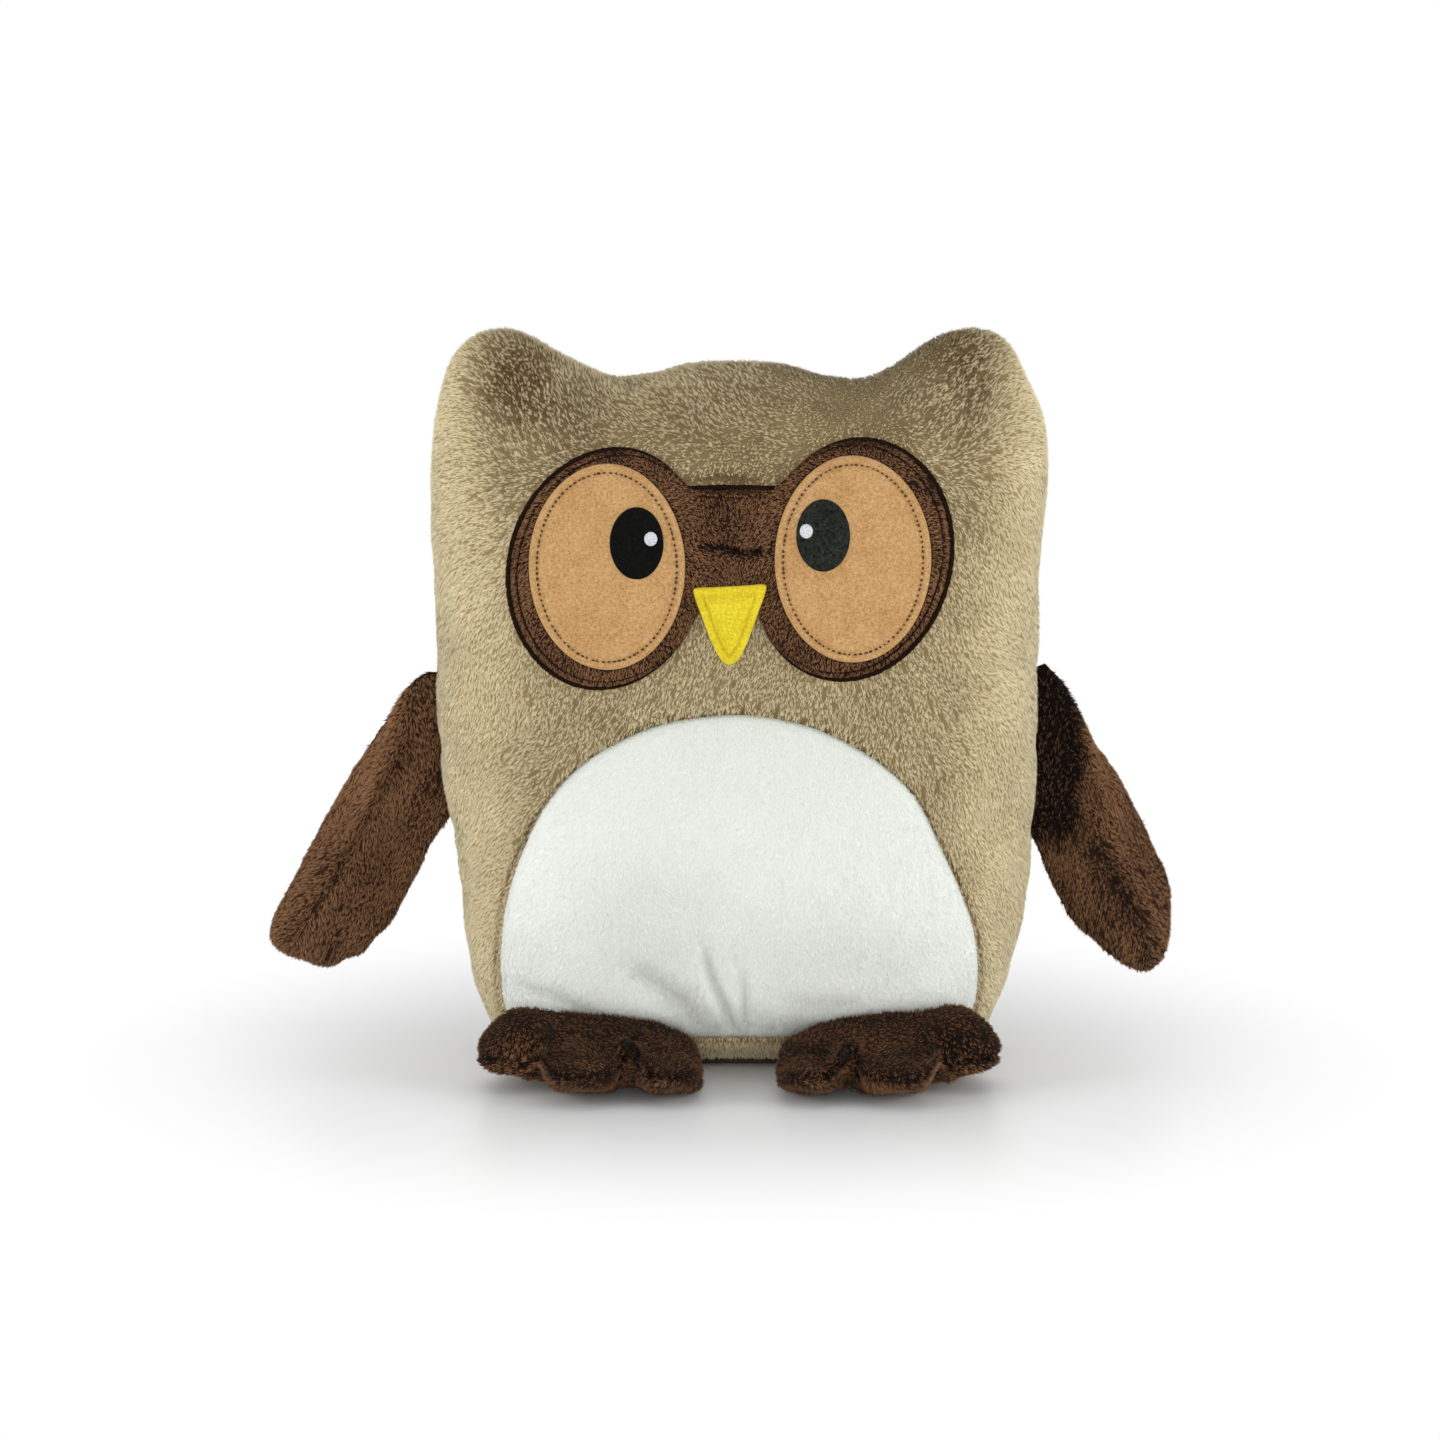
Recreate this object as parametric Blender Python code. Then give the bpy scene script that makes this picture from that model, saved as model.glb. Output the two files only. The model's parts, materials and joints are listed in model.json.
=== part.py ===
"""A standing plush owl, modelled as its sewn pieces.

Metres, +Z up. The owl faces -Y and stands on the floor at z = 0, with the origin at the centre of
its flat base. Left and right are as seen from the front: left is -X, right is +X.
The body is a stuffed pillow with ears at its top corners, cut flat where it stands. Its surface is
one formula, body_ring, and every shell, filling and sewn-on patch follows that formula at its own
inset, so a change of one size moves all that lies on it.
"""

import bmesh
import bpy
import numpy as np
from mathutils import Matrix, Vector

# Body
BODY_HEIGHT = 0.2478
HEAD_HALF_WIDTH = 0.1028
EAR_RISE = 0.0166
CROWN_RISE = 0.0053
CHEEK_DROP = 0.0408
BASE_SAG = 0.0060
BELLY_DEPTH = 0.0490
FACE_DEPTH = 0.0410
BACK_DEPTH = 0.0430
EAR_DEPTH = 0.0290
EAR_THINNING_DROP = 0.0458

# Cloth and the gaps that touching pieces keep
SKIN_THICKNESS = 0.0016
FIT_GAP = 0.0003
FILLING_GAP = 0.0005
PILE_GAP = 0.0009
APPLIQUE_GAP = 0.0005
BASE_PANEL_THICKNESS = 0.0020
FORM_FLAT = 0.0005
CUT_OVERRUN = 0.0100

# Belly panel
BELLY_BOTTOM_HEIGHT = 0.0135
BELLY_OFFSET_X = -0.0005

# Weighted bag in the seat
PELLET_BAG_HALF_WIDTH = 0.0500
PELLET_BAG_HALF_DEPTH = 0.0170
PELLET_BAG_HALF_HEIGHT = 0.0110

# Face patches
FACE_OFFSET_X = -0.0030
MASK_THICKNESS = 0.0016
MASK_RING_HALF_WIDTH = 0.0320
MASK_RING_HALF_HEIGHT = 0.0386
MASK_BRIDGE_RISE = 0.0170
MASK_BRIDGE_DROP = 0.0200
EDGING_WIDTH = 0.0018
EDGING_THICKNESS = 0.0012
EYE_THICKNESS = 0.0012
EYE_HALF_WIDTH = 0.0256
EYE_HALF_HEIGHT = 0.0332
PUPIL_THICKNESS = 0.0008
PUPIL_HALF_WIDTH = 0.0088
PUPIL_HALF_HEIGHT = 0.0116
PUPIL_INWARD = 0.0098
PUPIL_RISE = 0.0080
HIGHLIGHT_THICKNESS = 0.0006
HIGHLIGHT_RADIUS = 0.0022
HIGHLIGHT_INWARD = 0.0046
HIGHLIGHT_RISE = 0.0015
BEAK_HALF_WIDTH = 0.0120
BEAK_LENGTH = 0.0255
BEAK_THICKNESS = 0.0050

# Wings
WING_ROOT_HALF_LENGTH = 0.0215
WING_LEFT_REACH = 0.0480
WING_RIGHT_REACH = 0.0460
WING_LEFT_DROP = 0.0850
WING_RIGHT_DROP = 0.0800
WING_HALF_THICKNESS = 0.0085
WING_PINCH_LENGTH = 0.0260
WING_HINGE_INSET = 0.0024

# Feet
FOOT_LENGTH = 0.0530
FOOT_SEAM_HEIGHT = 0.0108
FOOT_RISE = 0.0155
FOOT_PINCH_LENGTH = 0.0260
FOOT_HINGE_INSET = 0.0010

# Places up the body, as shares of its height
BODY_CENTRE_SHARE = 0.4641
CORE_HEIGHT_SHARE = 0.5004
BELLY_DEPTH_PLACE_SHARE = 0.3430
BELLY_DEPTH_SPREAD_SHARE = 0.3027
BELLY_TOP_SHARE = 0.5016
MASK_LEFT_RING_SHARE = 0.6925
MASK_RIGHT_RING_SHARE = 0.7046
MASK_BRIDGE_SHARE = 0.7324
EYE_LEFT_SHARE = 0.6961
EYE_RIGHT_SHARE = 0.7062
BEAK_TOP_SHARE = 0.6719
WING_ROOT_SHARE = 0.4399

# Places out from its middle, as shares of the head's half width
EAR_TIP_SHARE = 0.7539
EAR_VALLEY_SHARE = 0.3891
CORE_WIDTH_SHARE = 0.9630
BASE_WIDTH_SHARE = 0.7101
BELLY_WIDTH_SHARE = 0.7617
MASK_SPACING_SHARE = 0.3842
EYE_SPACING_SHARE = 0.3911
FOOT_INNER_SHARE = 0.1167
FOOT_OUTER_SHARE = 0.8414

# Exponents of the rounded forms, and shares that shape the pieces
MASK_RING_LEAN_SHARE = 0.28
ROUNDNESS_SHARE = 3.4
EDGE_ROUND_SHARE = 2.1
CORE_SHARE = 3.0
CORNER_BLEND_SHARE = 2.2
WING_PINCH_SHARE = 0.36
FOOT_PINCH_SHARE = 0.24
THINNEST_SHARE = 0.25
WING_LEFT_SPREAD_SHARE = 0.16
WING_RIGHT_SPREAD_SHARE = 0.0
BODY_RING_SHARES = (1.0, 0.975, 0.91, 0.80, 0.62, 0.34)
LIMB_RING_SHARES = (1.0, 0.90, 0.60)
PATCH_RING_SHARES = (1.0, 0.72, 0.38)
DOT_RING_SHARES = (1.0, 0.55)
BAG_TIER_SHARES = (0.75, 0.50, 0.25, 0.0)
LIMB_ROUNDNESS_SHARE = 2.6

# Points along the outlines, as shares: crown to ear valley, valley to ear tip, tip to head side,
# head side to base, and under the base
CROWN_SHARES = ((0.0, 1.0), (0.45, 0.78), (0.78, 0.22), (1.0, 0.0))
EAR_INNER_SHARES = ((0.27, 0.20), (0.53, 0.56), (0.79, 0.88), (1.0, 1.0))
EAR_OUTER_SHARES = ((0.34, 0.956), (0.60, 0.81), (0.82, 0.54), (0.95, 0.295), (1.0, 0.0))
SIDE_SHARES = (
    (1.0, 0.918), (0.994, 0.797), (0.990, 0.676), (0.990, 0.556), (0.978, 0.459),
    (0.955, 0.377), (0.938, 0.300), (0.920, 0.217), (0.890, 0.145), (0.842, 0.080), (0.785, 0.030),
)
UNDER_SHARES = ((1.0, 0.0), (0.85, -0.65), (0.60, -0.95), (0.32, -1.0), (0.0, -1.0))
BELLY_SHARES = (
    (0.0, 1.0), (0.28, 0.978), (0.437, 0.94), (0.641, 0.857), (0.80, 0.744), (0.908, 0.593),
    (0.968, 0.44), (0.99, 0.298), (1.0, 0.153), (0.985, 0.05), (0.93, 0.005), (0.70, -0.01),
    (0.35, -0.02), (0.0, -0.02),
)
BEAK_SHARES = (
    (0.0, 1.0), (0.50, 1.0), (0.90, 1.0), (0.975, 0.975), (0.98, 0.925), (0.89, 0.80),
    (0.79, 0.67), (0.64, 0.47), (0.46, 0.26), (0.31, 0.12), (0.16, 0.03), (0.0, 0.0),
)
BEAK_CENTRE_SHARE = 0.60
WING_ROOT_SHARES = (0.78, 0.26, -0.28, -0.82)
WING_SHARES = (
    (0.06, 0.255), (0.17, 0.222), (0.32, 0.135), (0.47, 0.0), (0.615, -0.18), (0.75, -0.34),
    (0.87, -0.51), (0.977, -0.728), (0.98, -0.87), (0.92, -0.965), (0.825, -1.0), (0.71, -0.962),
    (0.583, -0.955), (0.478, -0.90), (0.29, -0.76), (0.173, -0.62), (0.09, -0.49), (0.03, -0.37),
)
WING_CENTRE_SHARES = (0.42, -0.36)
FOOT_SHARES = (
    (0.10, 0.0), (0.03, 0.15), (0.0, 0.38), (0.0, 0.68), (0.045, 0.88), (0.13, 0.965),
    (0.26, 0.93), (0.34, 0.84), (0.42, 0.945), (0.535, 1.0), (0.655, 0.965), (0.735, 0.83),
    (0.755, 0.64), (0.86, 0.585), (0.965, 0.49), (1.0, 0.32), (0.95, 0.13), (0.85, 0.02),
    (0.72, 0.0), (0.40, 0.0),
)
FOOT_CENTRE_SHARES = (0.46, 0.45)

# The sizes and places that follow from these
EAR_TIP_X = HEAD_HALF_WIDTH * EAR_TIP_SHARE
EAR_VALLEY_X = HEAD_HALF_WIDTH * EAR_VALLEY_SHARE
EAR_VALLEY_HEIGHT = BODY_HEIGHT - EAR_RISE
HEAD_SIDE_HEIGHT = BODY_HEIGHT - CHEEK_DROP
BODY_CENTRE_HEIGHT = BODY_HEIGHT * BODY_CENTRE_SHARE
CORE_HALF_WIDTH = HEAD_HALF_WIDTH * CORE_WIDTH_SHARE
CORE_HALF_HEIGHT = BODY_HEIGHT * CORE_HEIGHT_SHARE
BASE_HALF_WIDTH = HEAD_HALF_WIDTH * BASE_WIDTH_SHARE
BELLY_HALF_WIDTH = HEAD_HALF_WIDTH * BELLY_WIDTH_SHARE
BELLY_TOP_HEIGHT = BODY_HEIGHT * BELLY_TOP_SHARE
MASK_RING_SPACING = HEAD_HALF_WIDTH * MASK_SPACING_SHARE
MASK_BRIDGE_HEIGHT = BODY_HEIGHT * MASK_BRIDGE_SHARE
EYE_SPACING = HEAD_HALF_WIDTH * EYE_SPACING_SHARE
BEAK_TOP_HEIGHT = BODY_HEIGHT * BEAK_TOP_SHARE
WING_ROOT_HEIGHT = BODY_HEIGHT * WING_ROOT_SHARE
FOOT_INNER_X = HEAD_HALF_WIDTH * FOOT_INNER_SHARE
FOOT_OUTER_X = HEAD_HALF_WIDTH * FOOT_OUTER_SHARE

# Points for each span of an outline: in the solids, and where a place on the surface is sought
OUTLINE_STEPS = 2
SPAN_STEPS = 8
# Points round a patch, places tried along a sewn edge, and halvings of the search for a place
MASK_POINTS = 96
EYE_POINTS = 36
DOT_POINTS = 24
EDGE_PLACES = 9
HALVINGS = 40


def smoothstep(low, high, value):
    """0 below low, 1 above high, and an even S between them."""
    t = np.clip((np.asarray(value, float) - low) / (high - low), 0.0, 1.0)
    return t * t * (3.0 - 2.0 * t)


def closed_curve(knots, steps):
    """Points of the smooth closed curve through the knots, steps of them for each span. Each knot
    counts for the root of its distance to the next, so that uneven knots make no loops."""
    knots = np.asarray(knots, float)
    u = (np.arange(steps) / steps)[:, None]
    spans = []
    for i in range(len(knots)):
        a, b, c, d = (knots[(i + k) % len(knots)] for k in (-1, 0, 1, 2))
        t1 = np.linalg.norm(b - a) ** 0.5
        t2 = t1 + np.linalg.norm(c - b) ** 0.5
        t3 = t2 + np.linalg.norm(d - c) ** 0.5
        t = t1 + (t2 - t1) * u
        ab = a + (b - a) * t / t1
        bc = b + (c - b) * (t - t1) / (t2 - t1)
        cd = c + (d - c) * (t - t2) / (t3 - t2)
        abc = ab + (bc - ab) * t / t2
        bcd = bc + (cd - bc) * (t - t1) / (t3 - t1)
        spans.append(abc + (bcd - abc) * (t - t1) / (t2 - t1))
    return np.concatenate(spans)


def inset_curve(points, inset):
    """The closed curve moved inwards by the inset, measured square to itself."""
    ahead = np.roll(points, -1, axis=0) - np.roll(points, 1, axis=0)
    ahead /= np.linalg.norm(ahead, axis=1)[:, None]
    return points + inset * np.column_stack([-ahead[:, 1], ahead[:, 0]])


def mirrored_round(half):
    """A half outline, from the top middle to the bottom middle at +x, made whole, anticlockwise."""
    whole = [(-x, z) for x, z in half] + [(x, z) for x, z in half[-2:0:-1]]
    return np.asarray(whole, float)


def body_knots():
    """The body's outline in the XZ plane, with the part below the floor that the base cuts off."""
    ear_run = EAR_TIP_X - EAR_VALLEY_X
    cheek_run = HEAD_HALF_WIDTH - EAR_TIP_X
    half = [(a * EAR_VALLEY_X, EAR_VALLEY_HEIGHT + b * CROWN_RISE) for a, b in CROWN_SHARES]
    half += [(EAR_VALLEY_X + a * ear_run, EAR_VALLEY_HEIGHT + b * EAR_RISE)
             for a, b in EAR_INNER_SHARES]
    half += [(EAR_TIP_X + a * cheek_run, HEAD_SIDE_HEIGHT + b * CHEEK_DROP)
             for a, b in EAR_OUTER_SHARES]
    half += [(a * HEAD_HALF_WIDTH, b * HEAD_SIDE_HEIGHT) for a, b in SIDE_SHARES]
    half += [(a * BASE_HALF_WIDTH, b * BASE_SAG) for a, b in UNDER_SHARES]
    return mirrored_round(half)


def core_radius(angle, inset):
    """The plain rounded box that the inner rings of the body run into."""
    a, b = CORE_HALF_WIDTH - inset, CORE_HALF_HEIGHT - inset
    return (np.abs(np.cos(angle) / a) ** CORE_SHARE
            + np.abs(np.sin(angle) / b) ** CORE_SHARE) ** (-1 / CORE_SHARE)


def ear_part(z):
    """0 below the ears, where the head is at its deepest, up to 1 at their tips."""
    return smoothstep(BODY_HEIGHT - EAR_THINNING_DROP, BODY_HEIGHT, z)


def front_depth(z):
    """How far the middle of the front stands out at a height."""
    away = z / BODY_HEIGHT - BELLY_DEPTH_PLACE_SHARE
    belly = np.exp(-((away / BELLY_DEPTH_SPREAD_SHARE) ** 2))
    full = FACE_DEPTH + (BELLY_DEPTH - FACE_DEPTH) * belly
    return full - (FACE_DEPTH - EAR_DEPTH) * ear_part(z)


def back_depth(z):
    """How far the middle of the back stands out at a height."""
    return BACK_DEPTH - (BACK_DEPTH - EAR_DEPTH) * ear_part(z)


def swell(share, roundness):
    """The height of a stuffed surface, 1 in the middle and 0 at its rim."""
    return np.clip(1.0 - share**roundness, 0.0, 1.0) ** (1.0 / EDGE_ROUND_SHARE)


def body_ring(share, side, inset, steps=1):
    """One ring of the body's surface: side is -1 for the front, +1 for the back."""
    rim = inset_curve(closed_curve(body_knots(), steps), inset)
    out = rim - (0.0, BODY_CENTRE_HEIGHT)
    angle = np.arctan2(out[:, 1], out[:, 0])
    blend = share**CORNER_BLEND_SHARE
    length = blend * np.hypot(*out.T) + (1.0 - blend) * core_radius(angle, inset)
    x = share * length * np.cos(angle)
    z = BODY_CENTRE_HEIGHT + share * length * np.sin(angle)
    depth = (front_depth(z) if side < 0 else back_depth(z)) - inset
    return np.column_stack([x, side * depth * swell(share, ROUNDNESS_SHARE), z])


def front_surface(x, z):
    """The y of the body's front at points (x, z), found along the ray from the body's centre."""
    x, z = np.asarray(x, float), np.asarray(z, float)
    rim = closed_curve(body_knots(), SPAN_STEPS) - (0.0, BODY_CENTRE_HEIGHT)
    rim_angle = np.arctan2(rim[:, 1], rim[:, 0])
    order = np.argsort(rim_angle)
    angle = np.arctan2(z - BODY_CENTRE_HEIGHT, x)
    reach = np.interp(angle, rim_angle[order], np.hypot(*rim.T)[order], period=2 * np.pi)
    core = core_radius(angle, 0.0)
    wanted = np.hypot(x, z - BODY_CENTRE_HEIGHT)
    low, high = np.zeros_like(wanted), np.ones_like(wanted)
    for _ in range(HALVINGS):
        share = 0.5 * (low + high)
        blend = share**CORNER_BLEND_SHARE
        short = share * (blend * reach + (1.0 - blend) * core) < wanted
        low = np.where(short, share, low)
        high = np.where(short, high, share)
    return -front_depth(z) * swell(low, ROUNDNESS_SHARE)


def material(name, colour, roughness):
    """A plain cloth material of the piece's colour."""
    made = bpy.data.materials.get(name) or bpy.data.materials.new(name)
    made.use_nodes = True
    shader = made.node_tree.nodes["Principled BSDF"]
    shader.inputs["Base Color"].default_value = (*colour, 1.0)
    shader.inputs["Roughness"].default_value = roughness
    shader.inputs["Metallic"].default_value = 0.0
    return made


def object_from(name, bm, finish):
    """An object that holds the mesh, with its faces turned outwards and shaded smooth."""
    bmesh.ops.recalc_face_normals(bm, faces=bm.faces)
    if bm.calc_volume(signed=True) < 0:
        bmesh.ops.reverse_faces(bm, faces=bm.faces)
    mesh = bpy.data.meshes.new(name)
    bm.to_mesh(mesh)
    bm.free()
    mesh.shade_smooth()
    made = bpy.data.objects.new(name, mesh)
    bpy.context.scene.collection.objects.link(made)
    if finish is not None:
        mesh.materials.append(finish)
    return made


def add_ring(bm, points):
    return [bm.verts.new(Vector(p)) for p in points]


def join_rings(bm, first, second):
    for i in range(len(first)):
        j = (i + 1) % len(first)
        bm.faces.new((first[i], first[j], second[j], second[i]))


def close_ring(bm, ring, middle):
    """A fan from the ring to a point in its middle."""
    pole = bm.verts.new(Vector(middle))
    for i in range(len(ring)):
        bm.faces.new((ring[i], ring[(i + 1) % len(ring)], pole))


def lofted(name, rings, first_middle, last_middle, finish):
    """A closed solid through a row of rings, each end closed by a fan to its middle."""
    bm = bmesh.new()
    made = [add_ring(bm, ring) for ring in rings]
    for first, second in zip(made, made[1:]):
        join_rings(bm, first, second)
    close_ring(bm, made[0], first_middle)
    close_ring(bm, made[-1], last_middle)
    return object_from(name, bm, finish)


def cut(target, cutter, operation="DIFFERENCE"):
    """A Boolean on the target. The cutter stays as a hidden guide."""
    cutter.hide_render = True
    cutter.display_type = "WIRE"
    made = target.modifiers.new(cutter.name, "BOOLEAN")
    made.operation = operation
    made.solver = "EXACT"
    made.object = cutter


def box(name, low, high):
    bm = bmesh.new()
    bmesh.ops.create_cube(bm, size=1.0)
    middle = (Vector(low) + Vector(high)) / 2
    size = Vector(high) - Vector(low)
    bmesh.ops.transform(bm, matrix=Matrix.Translation(middle) @ Matrix.Diagonal((*size, 1.0)),
                        verts=bm.verts)
    return object_from(name, bm, None)


def below_box(name, top):
    """A cutter that takes away all of the body below a height."""
    wide = HEAD_HALF_WIDTH + CUT_OVERRUN
    return box(name, (-wide, -wide, -BASE_SAG - CUT_OVERRUN), (wide, wide, top))


def body_middle(side, inset):
    depth = front_depth(BODY_CENTRE_HEIGHT) if side < 0 else back_depth(BODY_CENTRE_HEIGHT)
    return (0.0, side * (depth - inset), BODY_CENTRE_HEIGHT)


def body_shell(name, side, finish):
    """One half of the sewn skin: its outer side, its inner side, and the seam edge between them."""
    parting = np.array([0.0, side * FIT_GAP / 2, 0.0])
    outer = [body_ring(s, side, 0.0) + parting for s in reversed(BODY_RING_SHARES)]
    inner = [body_ring(s, side, SKIN_THICKNESS) + parting for s in BODY_RING_SHARES]
    return lofted(name, outer + inner, body_middle(side, 0.0) + parting,
                  body_middle(side, SKIN_THICKNESS) + parting, finish)


def body_solid(name, inset, finish):
    """The whole stuffed body at an inset, closed at its middle seam."""
    front = [body_ring(s, -1, inset) for s in reversed(BODY_RING_SHARES)]
    back = [body_ring(s, 1, inset) for s in BODY_RING_SHARES[1:]]
    return lofted(name, front + back, body_middle(-1, inset), body_middle(1, inset), finish)


def belly_outline():
    """The belly patch's outline in the XZ plane, an arch with a nearly straight foot."""
    rise = BELLY_TOP_HEIGHT - BELLY_BOTTOM_HEIGHT
    half = [(a * BELLY_HALF_WIDTH, BELLY_BOTTOM_HEIGHT + b * rise) for a, b in BELLY_SHARES]
    return closed_curve(mirrored_round(half), OUTLINE_STEPS) + (BELLY_OFFSET_X, 0.0)


def front_prism(name, outline):
    """An outline in the XZ plane drawn out through the body's front only."""
    bm = bmesh.new()
    far = add_ring(bm, [(x, -BELLY_DEPTH - CUT_OVERRUN, z) for x, z in outline])
    near = add_ring(bm, [(x, -FIT_GAP, z) for x, z in outline])
    join_rings(bm, far, near)
    bm.faces.new(far)
    bm.faces.new(near)
    return object_from(name, bm, None)


def patch(name, outline, centre, shares, low, high, finish, crown=0.0):
    """A patch on the front: its outline in the XZ plane shrunk in rings towards its centre, and
    its two sides low and high above the body's front. A crown pads its middle further out."""
    outline, centre = np.asarray(outline, float), np.asarray(centre, float)

    def ring(share, above):
        flat = centre + share * (outline - centre)
        padding = crown * (1.0 - share**2) if above == high else 0.0
        return np.column_stack([flat[:, 0], front_surface(*flat.T) - above - padding, flat[:, 1]])

    def middle(above):
        padding = crown if above == high else 0.0
        return (centre[0], float(front_surface(*centre)) - above - padding, centre[1])

    rings = [ring(s, high) for s in reversed(shares)] + [ring(s, low) for s in shares]
    return lofted(name, rings, middle(high), middle(low), finish)


def ellipse(centre, half_width, half_height, count):
    turn = np.arange(count) * 2 * np.pi / count
    return np.column_stack([centre[0] + half_width * np.cos(turn),
                            centre[1] + half_height * np.sin(turn)])


def ring_reach(way, centre):
    """How far out each direction leaves one ring of the mask, an ellipse whose top leans right."""
    cos, sin = np.cos(MASK_RING_LEAN_SHARE), np.sin(MASK_RING_LEAN_SHARE)
    upright = np.array([[cos, sin], [-sin, cos]])
    scale = np.array([MASK_RING_HALF_WIDTH, MASK_RING_HALF_HEIGHT])
    w, c = way @ upright / scale, centre @ upright / scale
    a, b = (w * w).sum(1), w @ c
    inside = b * b - a * (c @ c - 1.0)
    hit = (b + np.sqrt(np.maximum(inside, 0.0))) / a
    return np.where((inside > 0) & (b > 0), hit, 0.0)


def mask_outline():
    """The eye mask: two rings and the bridge between them, as its reach in each direction from the
    middle of the bridge, where the two rings and the bridge are blended softly."""
    middle = np.array([FACE_OFFSET_X, MASK_BRIDGE_HEIGHT])
    turn = np.arange(MASK_POINTS) * 2 * np.pi / MASK_POINTS
    way = np.column_stack([np.cos(turn), np.sin(turn)])
    bridge = np.where(way[:, 1] > 0, MASK_BRIDGE_RISE, MASK_BRIDGE_DROP)
    reach = bridge / np.maximum(np.abs(way[:, 1]), bridge / MASK_RING_SPACING)
    for sign, share in ((-1, MASK_LEFT_RING_SHARE), (1, MASK_RIGHT_RING_SHARE)):
        rise = (share - MASK_BRIDGE_SHARE) * BODY_HEIGHT
        centre = np.array([sign * MASK_RING_SPACING, rise])
        reach = np.maximum(reach, ring_reach(way, centre))
    soft = (np.roll(reach, 1) + 2 * reach + np.roll(reach, -1)) / 4
    return middle + way * soft[:, None], middle


def edging(name, finish):
    """The stitched band round the mask's edge."""
    rim, _ = mask_outline()
    inner = inset_curve(rim, -FIT_GAP)
    outer = inset_curve(rim, -FIT_GAP - EDGING_WIDTH)
    low, high = PILE_GAP, PILE_GAP + EDGING_THICKNESS
    bm = bmesh.new()
    rings = []
    for flat, above in ((inner, low), (inner, high), (outer, high), (outer, low)):
        y = front_surface(*flat.T) - above
        rings.append(add_ring(bm, np.column_stack([flat[:, 0], y, flat[:, 1]])))
    for first, second in zip(rings, rings[1:] + rings[:1]):
        join_rings(bm, first, second)
    return object_from(name, bm, finish)


def side_sign(side):
    return -1.0 if side == "left" else 1.0


def of_side(side, left, right):
    return left if side == "left" else right


def eye_centre(side):
    height = BODY_HEIGHT * of_side(side, EYE_LEFT_SHARE, EYE_RIGHT_SHARE)
    return np.array([FACE_OFFSET_X + side_sign(side) * EYE_SPACING, height])


def make_eye(side, looks):
    """A felt eye with its pupil and highlight, one on another."""
    sign = side_sign(side)
    low = PILE_GAP + MASK_THICKNESS + APPLIQUE_GAP
    centre = eye_centre(side)
    patch(f"{side}_eye", ellipse(centre, EYE_HALF_WIDTH, EYE_HALF_HEIGHT, EYE_POINTS), centre,
          PATCH_RING_SHARES, low, low + EYE_THICKNESS, looks["felt"])
    low += EYE_THICKNESS + APPLIQUE_GAP
    centre = centre + (-sign * PUPIL_INWARD, PUPIL_RISE)
    patch(f"{side}_pupil", ellipse(centre, PUPIL_HALF_WIDTH, PUPIL_HALF_HEIGHT, DOT_POINTS), centre,
          DOT_RING_SHARES, low, low + PUPIL_THICKNESS, looks["pupil"])
    low += PUPIL_THICKNESS + APPLIQUE_GAP
    centre = centre + (-sign * HIGHLIGHT_INWARD, HIGHLIGHT_RISE)
    outline = ellipse(centre, HIGHLIGHT_RADIUS, HIGHLIGHT_RADIUS, DOT_POINTS)
    patch(f"{side}_highlight", outline, centre, DOT_RING_SHARES, low, low + HIGHLIGHT_THICKNESS,
          looks["highlight"])


def make_beak(looks):
    """A padded felt triangle, point down, sewn over the mask's bridge."""
    tip = BEAK_TOP_HEIGHT - BEAK_LENGTH
    half = [(a * BEAK_HALF_WIDTH, tip + b * BEAK_LENGTH) for a, b in BEAK_SHARES]
    outline = mirrored_round(half) + (FACE_OFFSET_X, 0.0)
    centre = (FACE_OFFSET_X, tip + BEAK_LENGTH * BEAK_CENTRE_SHARE)
    low = PILE_GAP + MASK_THICKNESS + APPLIQUE_GAP
    patch("beak", outline, centre, PATCH_RING_SHARES, low, low + SKIN_THICKNESS, looks["beak"],
          crown=BEAK_THICKNESS - SKIN_THICKNESS)


def bag_rings(grow, tiers):
    """Level rings of the bag's rounded form, from its top down, grown by a clearance."""
    height = BASE_PANEL_THICKNESS + FIT_GAP + PELLET_BAG_HALF_HEIGHT
    rings = []
    for tier in tiers:
        lift = tier * np.pi / 2
        flat = ellipse((0.0, 0.0), (PELLET_BAG_HALF_WIDTH + grow) * np.cos(lift),
                       (PELLET_BAG_HALF_DEPTH + grow) * np.cos(lift), DOT_POINTS)
        level = np.full(len(flat), height + (PELLET_BAG_HALF_HEIGHT + grow) * np.sin(lift))
        rings.append(np.column_stack([flat, level]))
    return rings, height


def make_pellet_bag(looks):
    """A small bag of heavy granules on the base panel, which keeps the owl upright."""
    rings, height = bag_rings(0.0, BAG_TIER_SHARES + tuple(-t for t in BAG_TIER_SHARES[-2::-1]))
    lofted("pellet_bag", rings, (0.0, 0.0, height + PELLET_BAG_HALF_HEIGHT),
           (0.0, 0.0, height - PELLET_BAG_HALF_HEIGHT), looks["bag"])


def pellet_pocket():
    """The room for the bag in the filling: a dome over it with straight sides down to the base."""
    rings, height = bag_rings(FILLING_GAP, BAG_TIER_SHARES)
    foot = rings[-1].copy()
    foot[:, 2] = -CUT_OVERRUN
    top = height + PELLET_BAG_HALF_HEIGHT + FILLING_GAP
    return lofted("pellet_pocket", rings + [foot], (0.0, 0.0, top), (0.0, 0.0, -CUT_OVERRUN), None)


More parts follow.
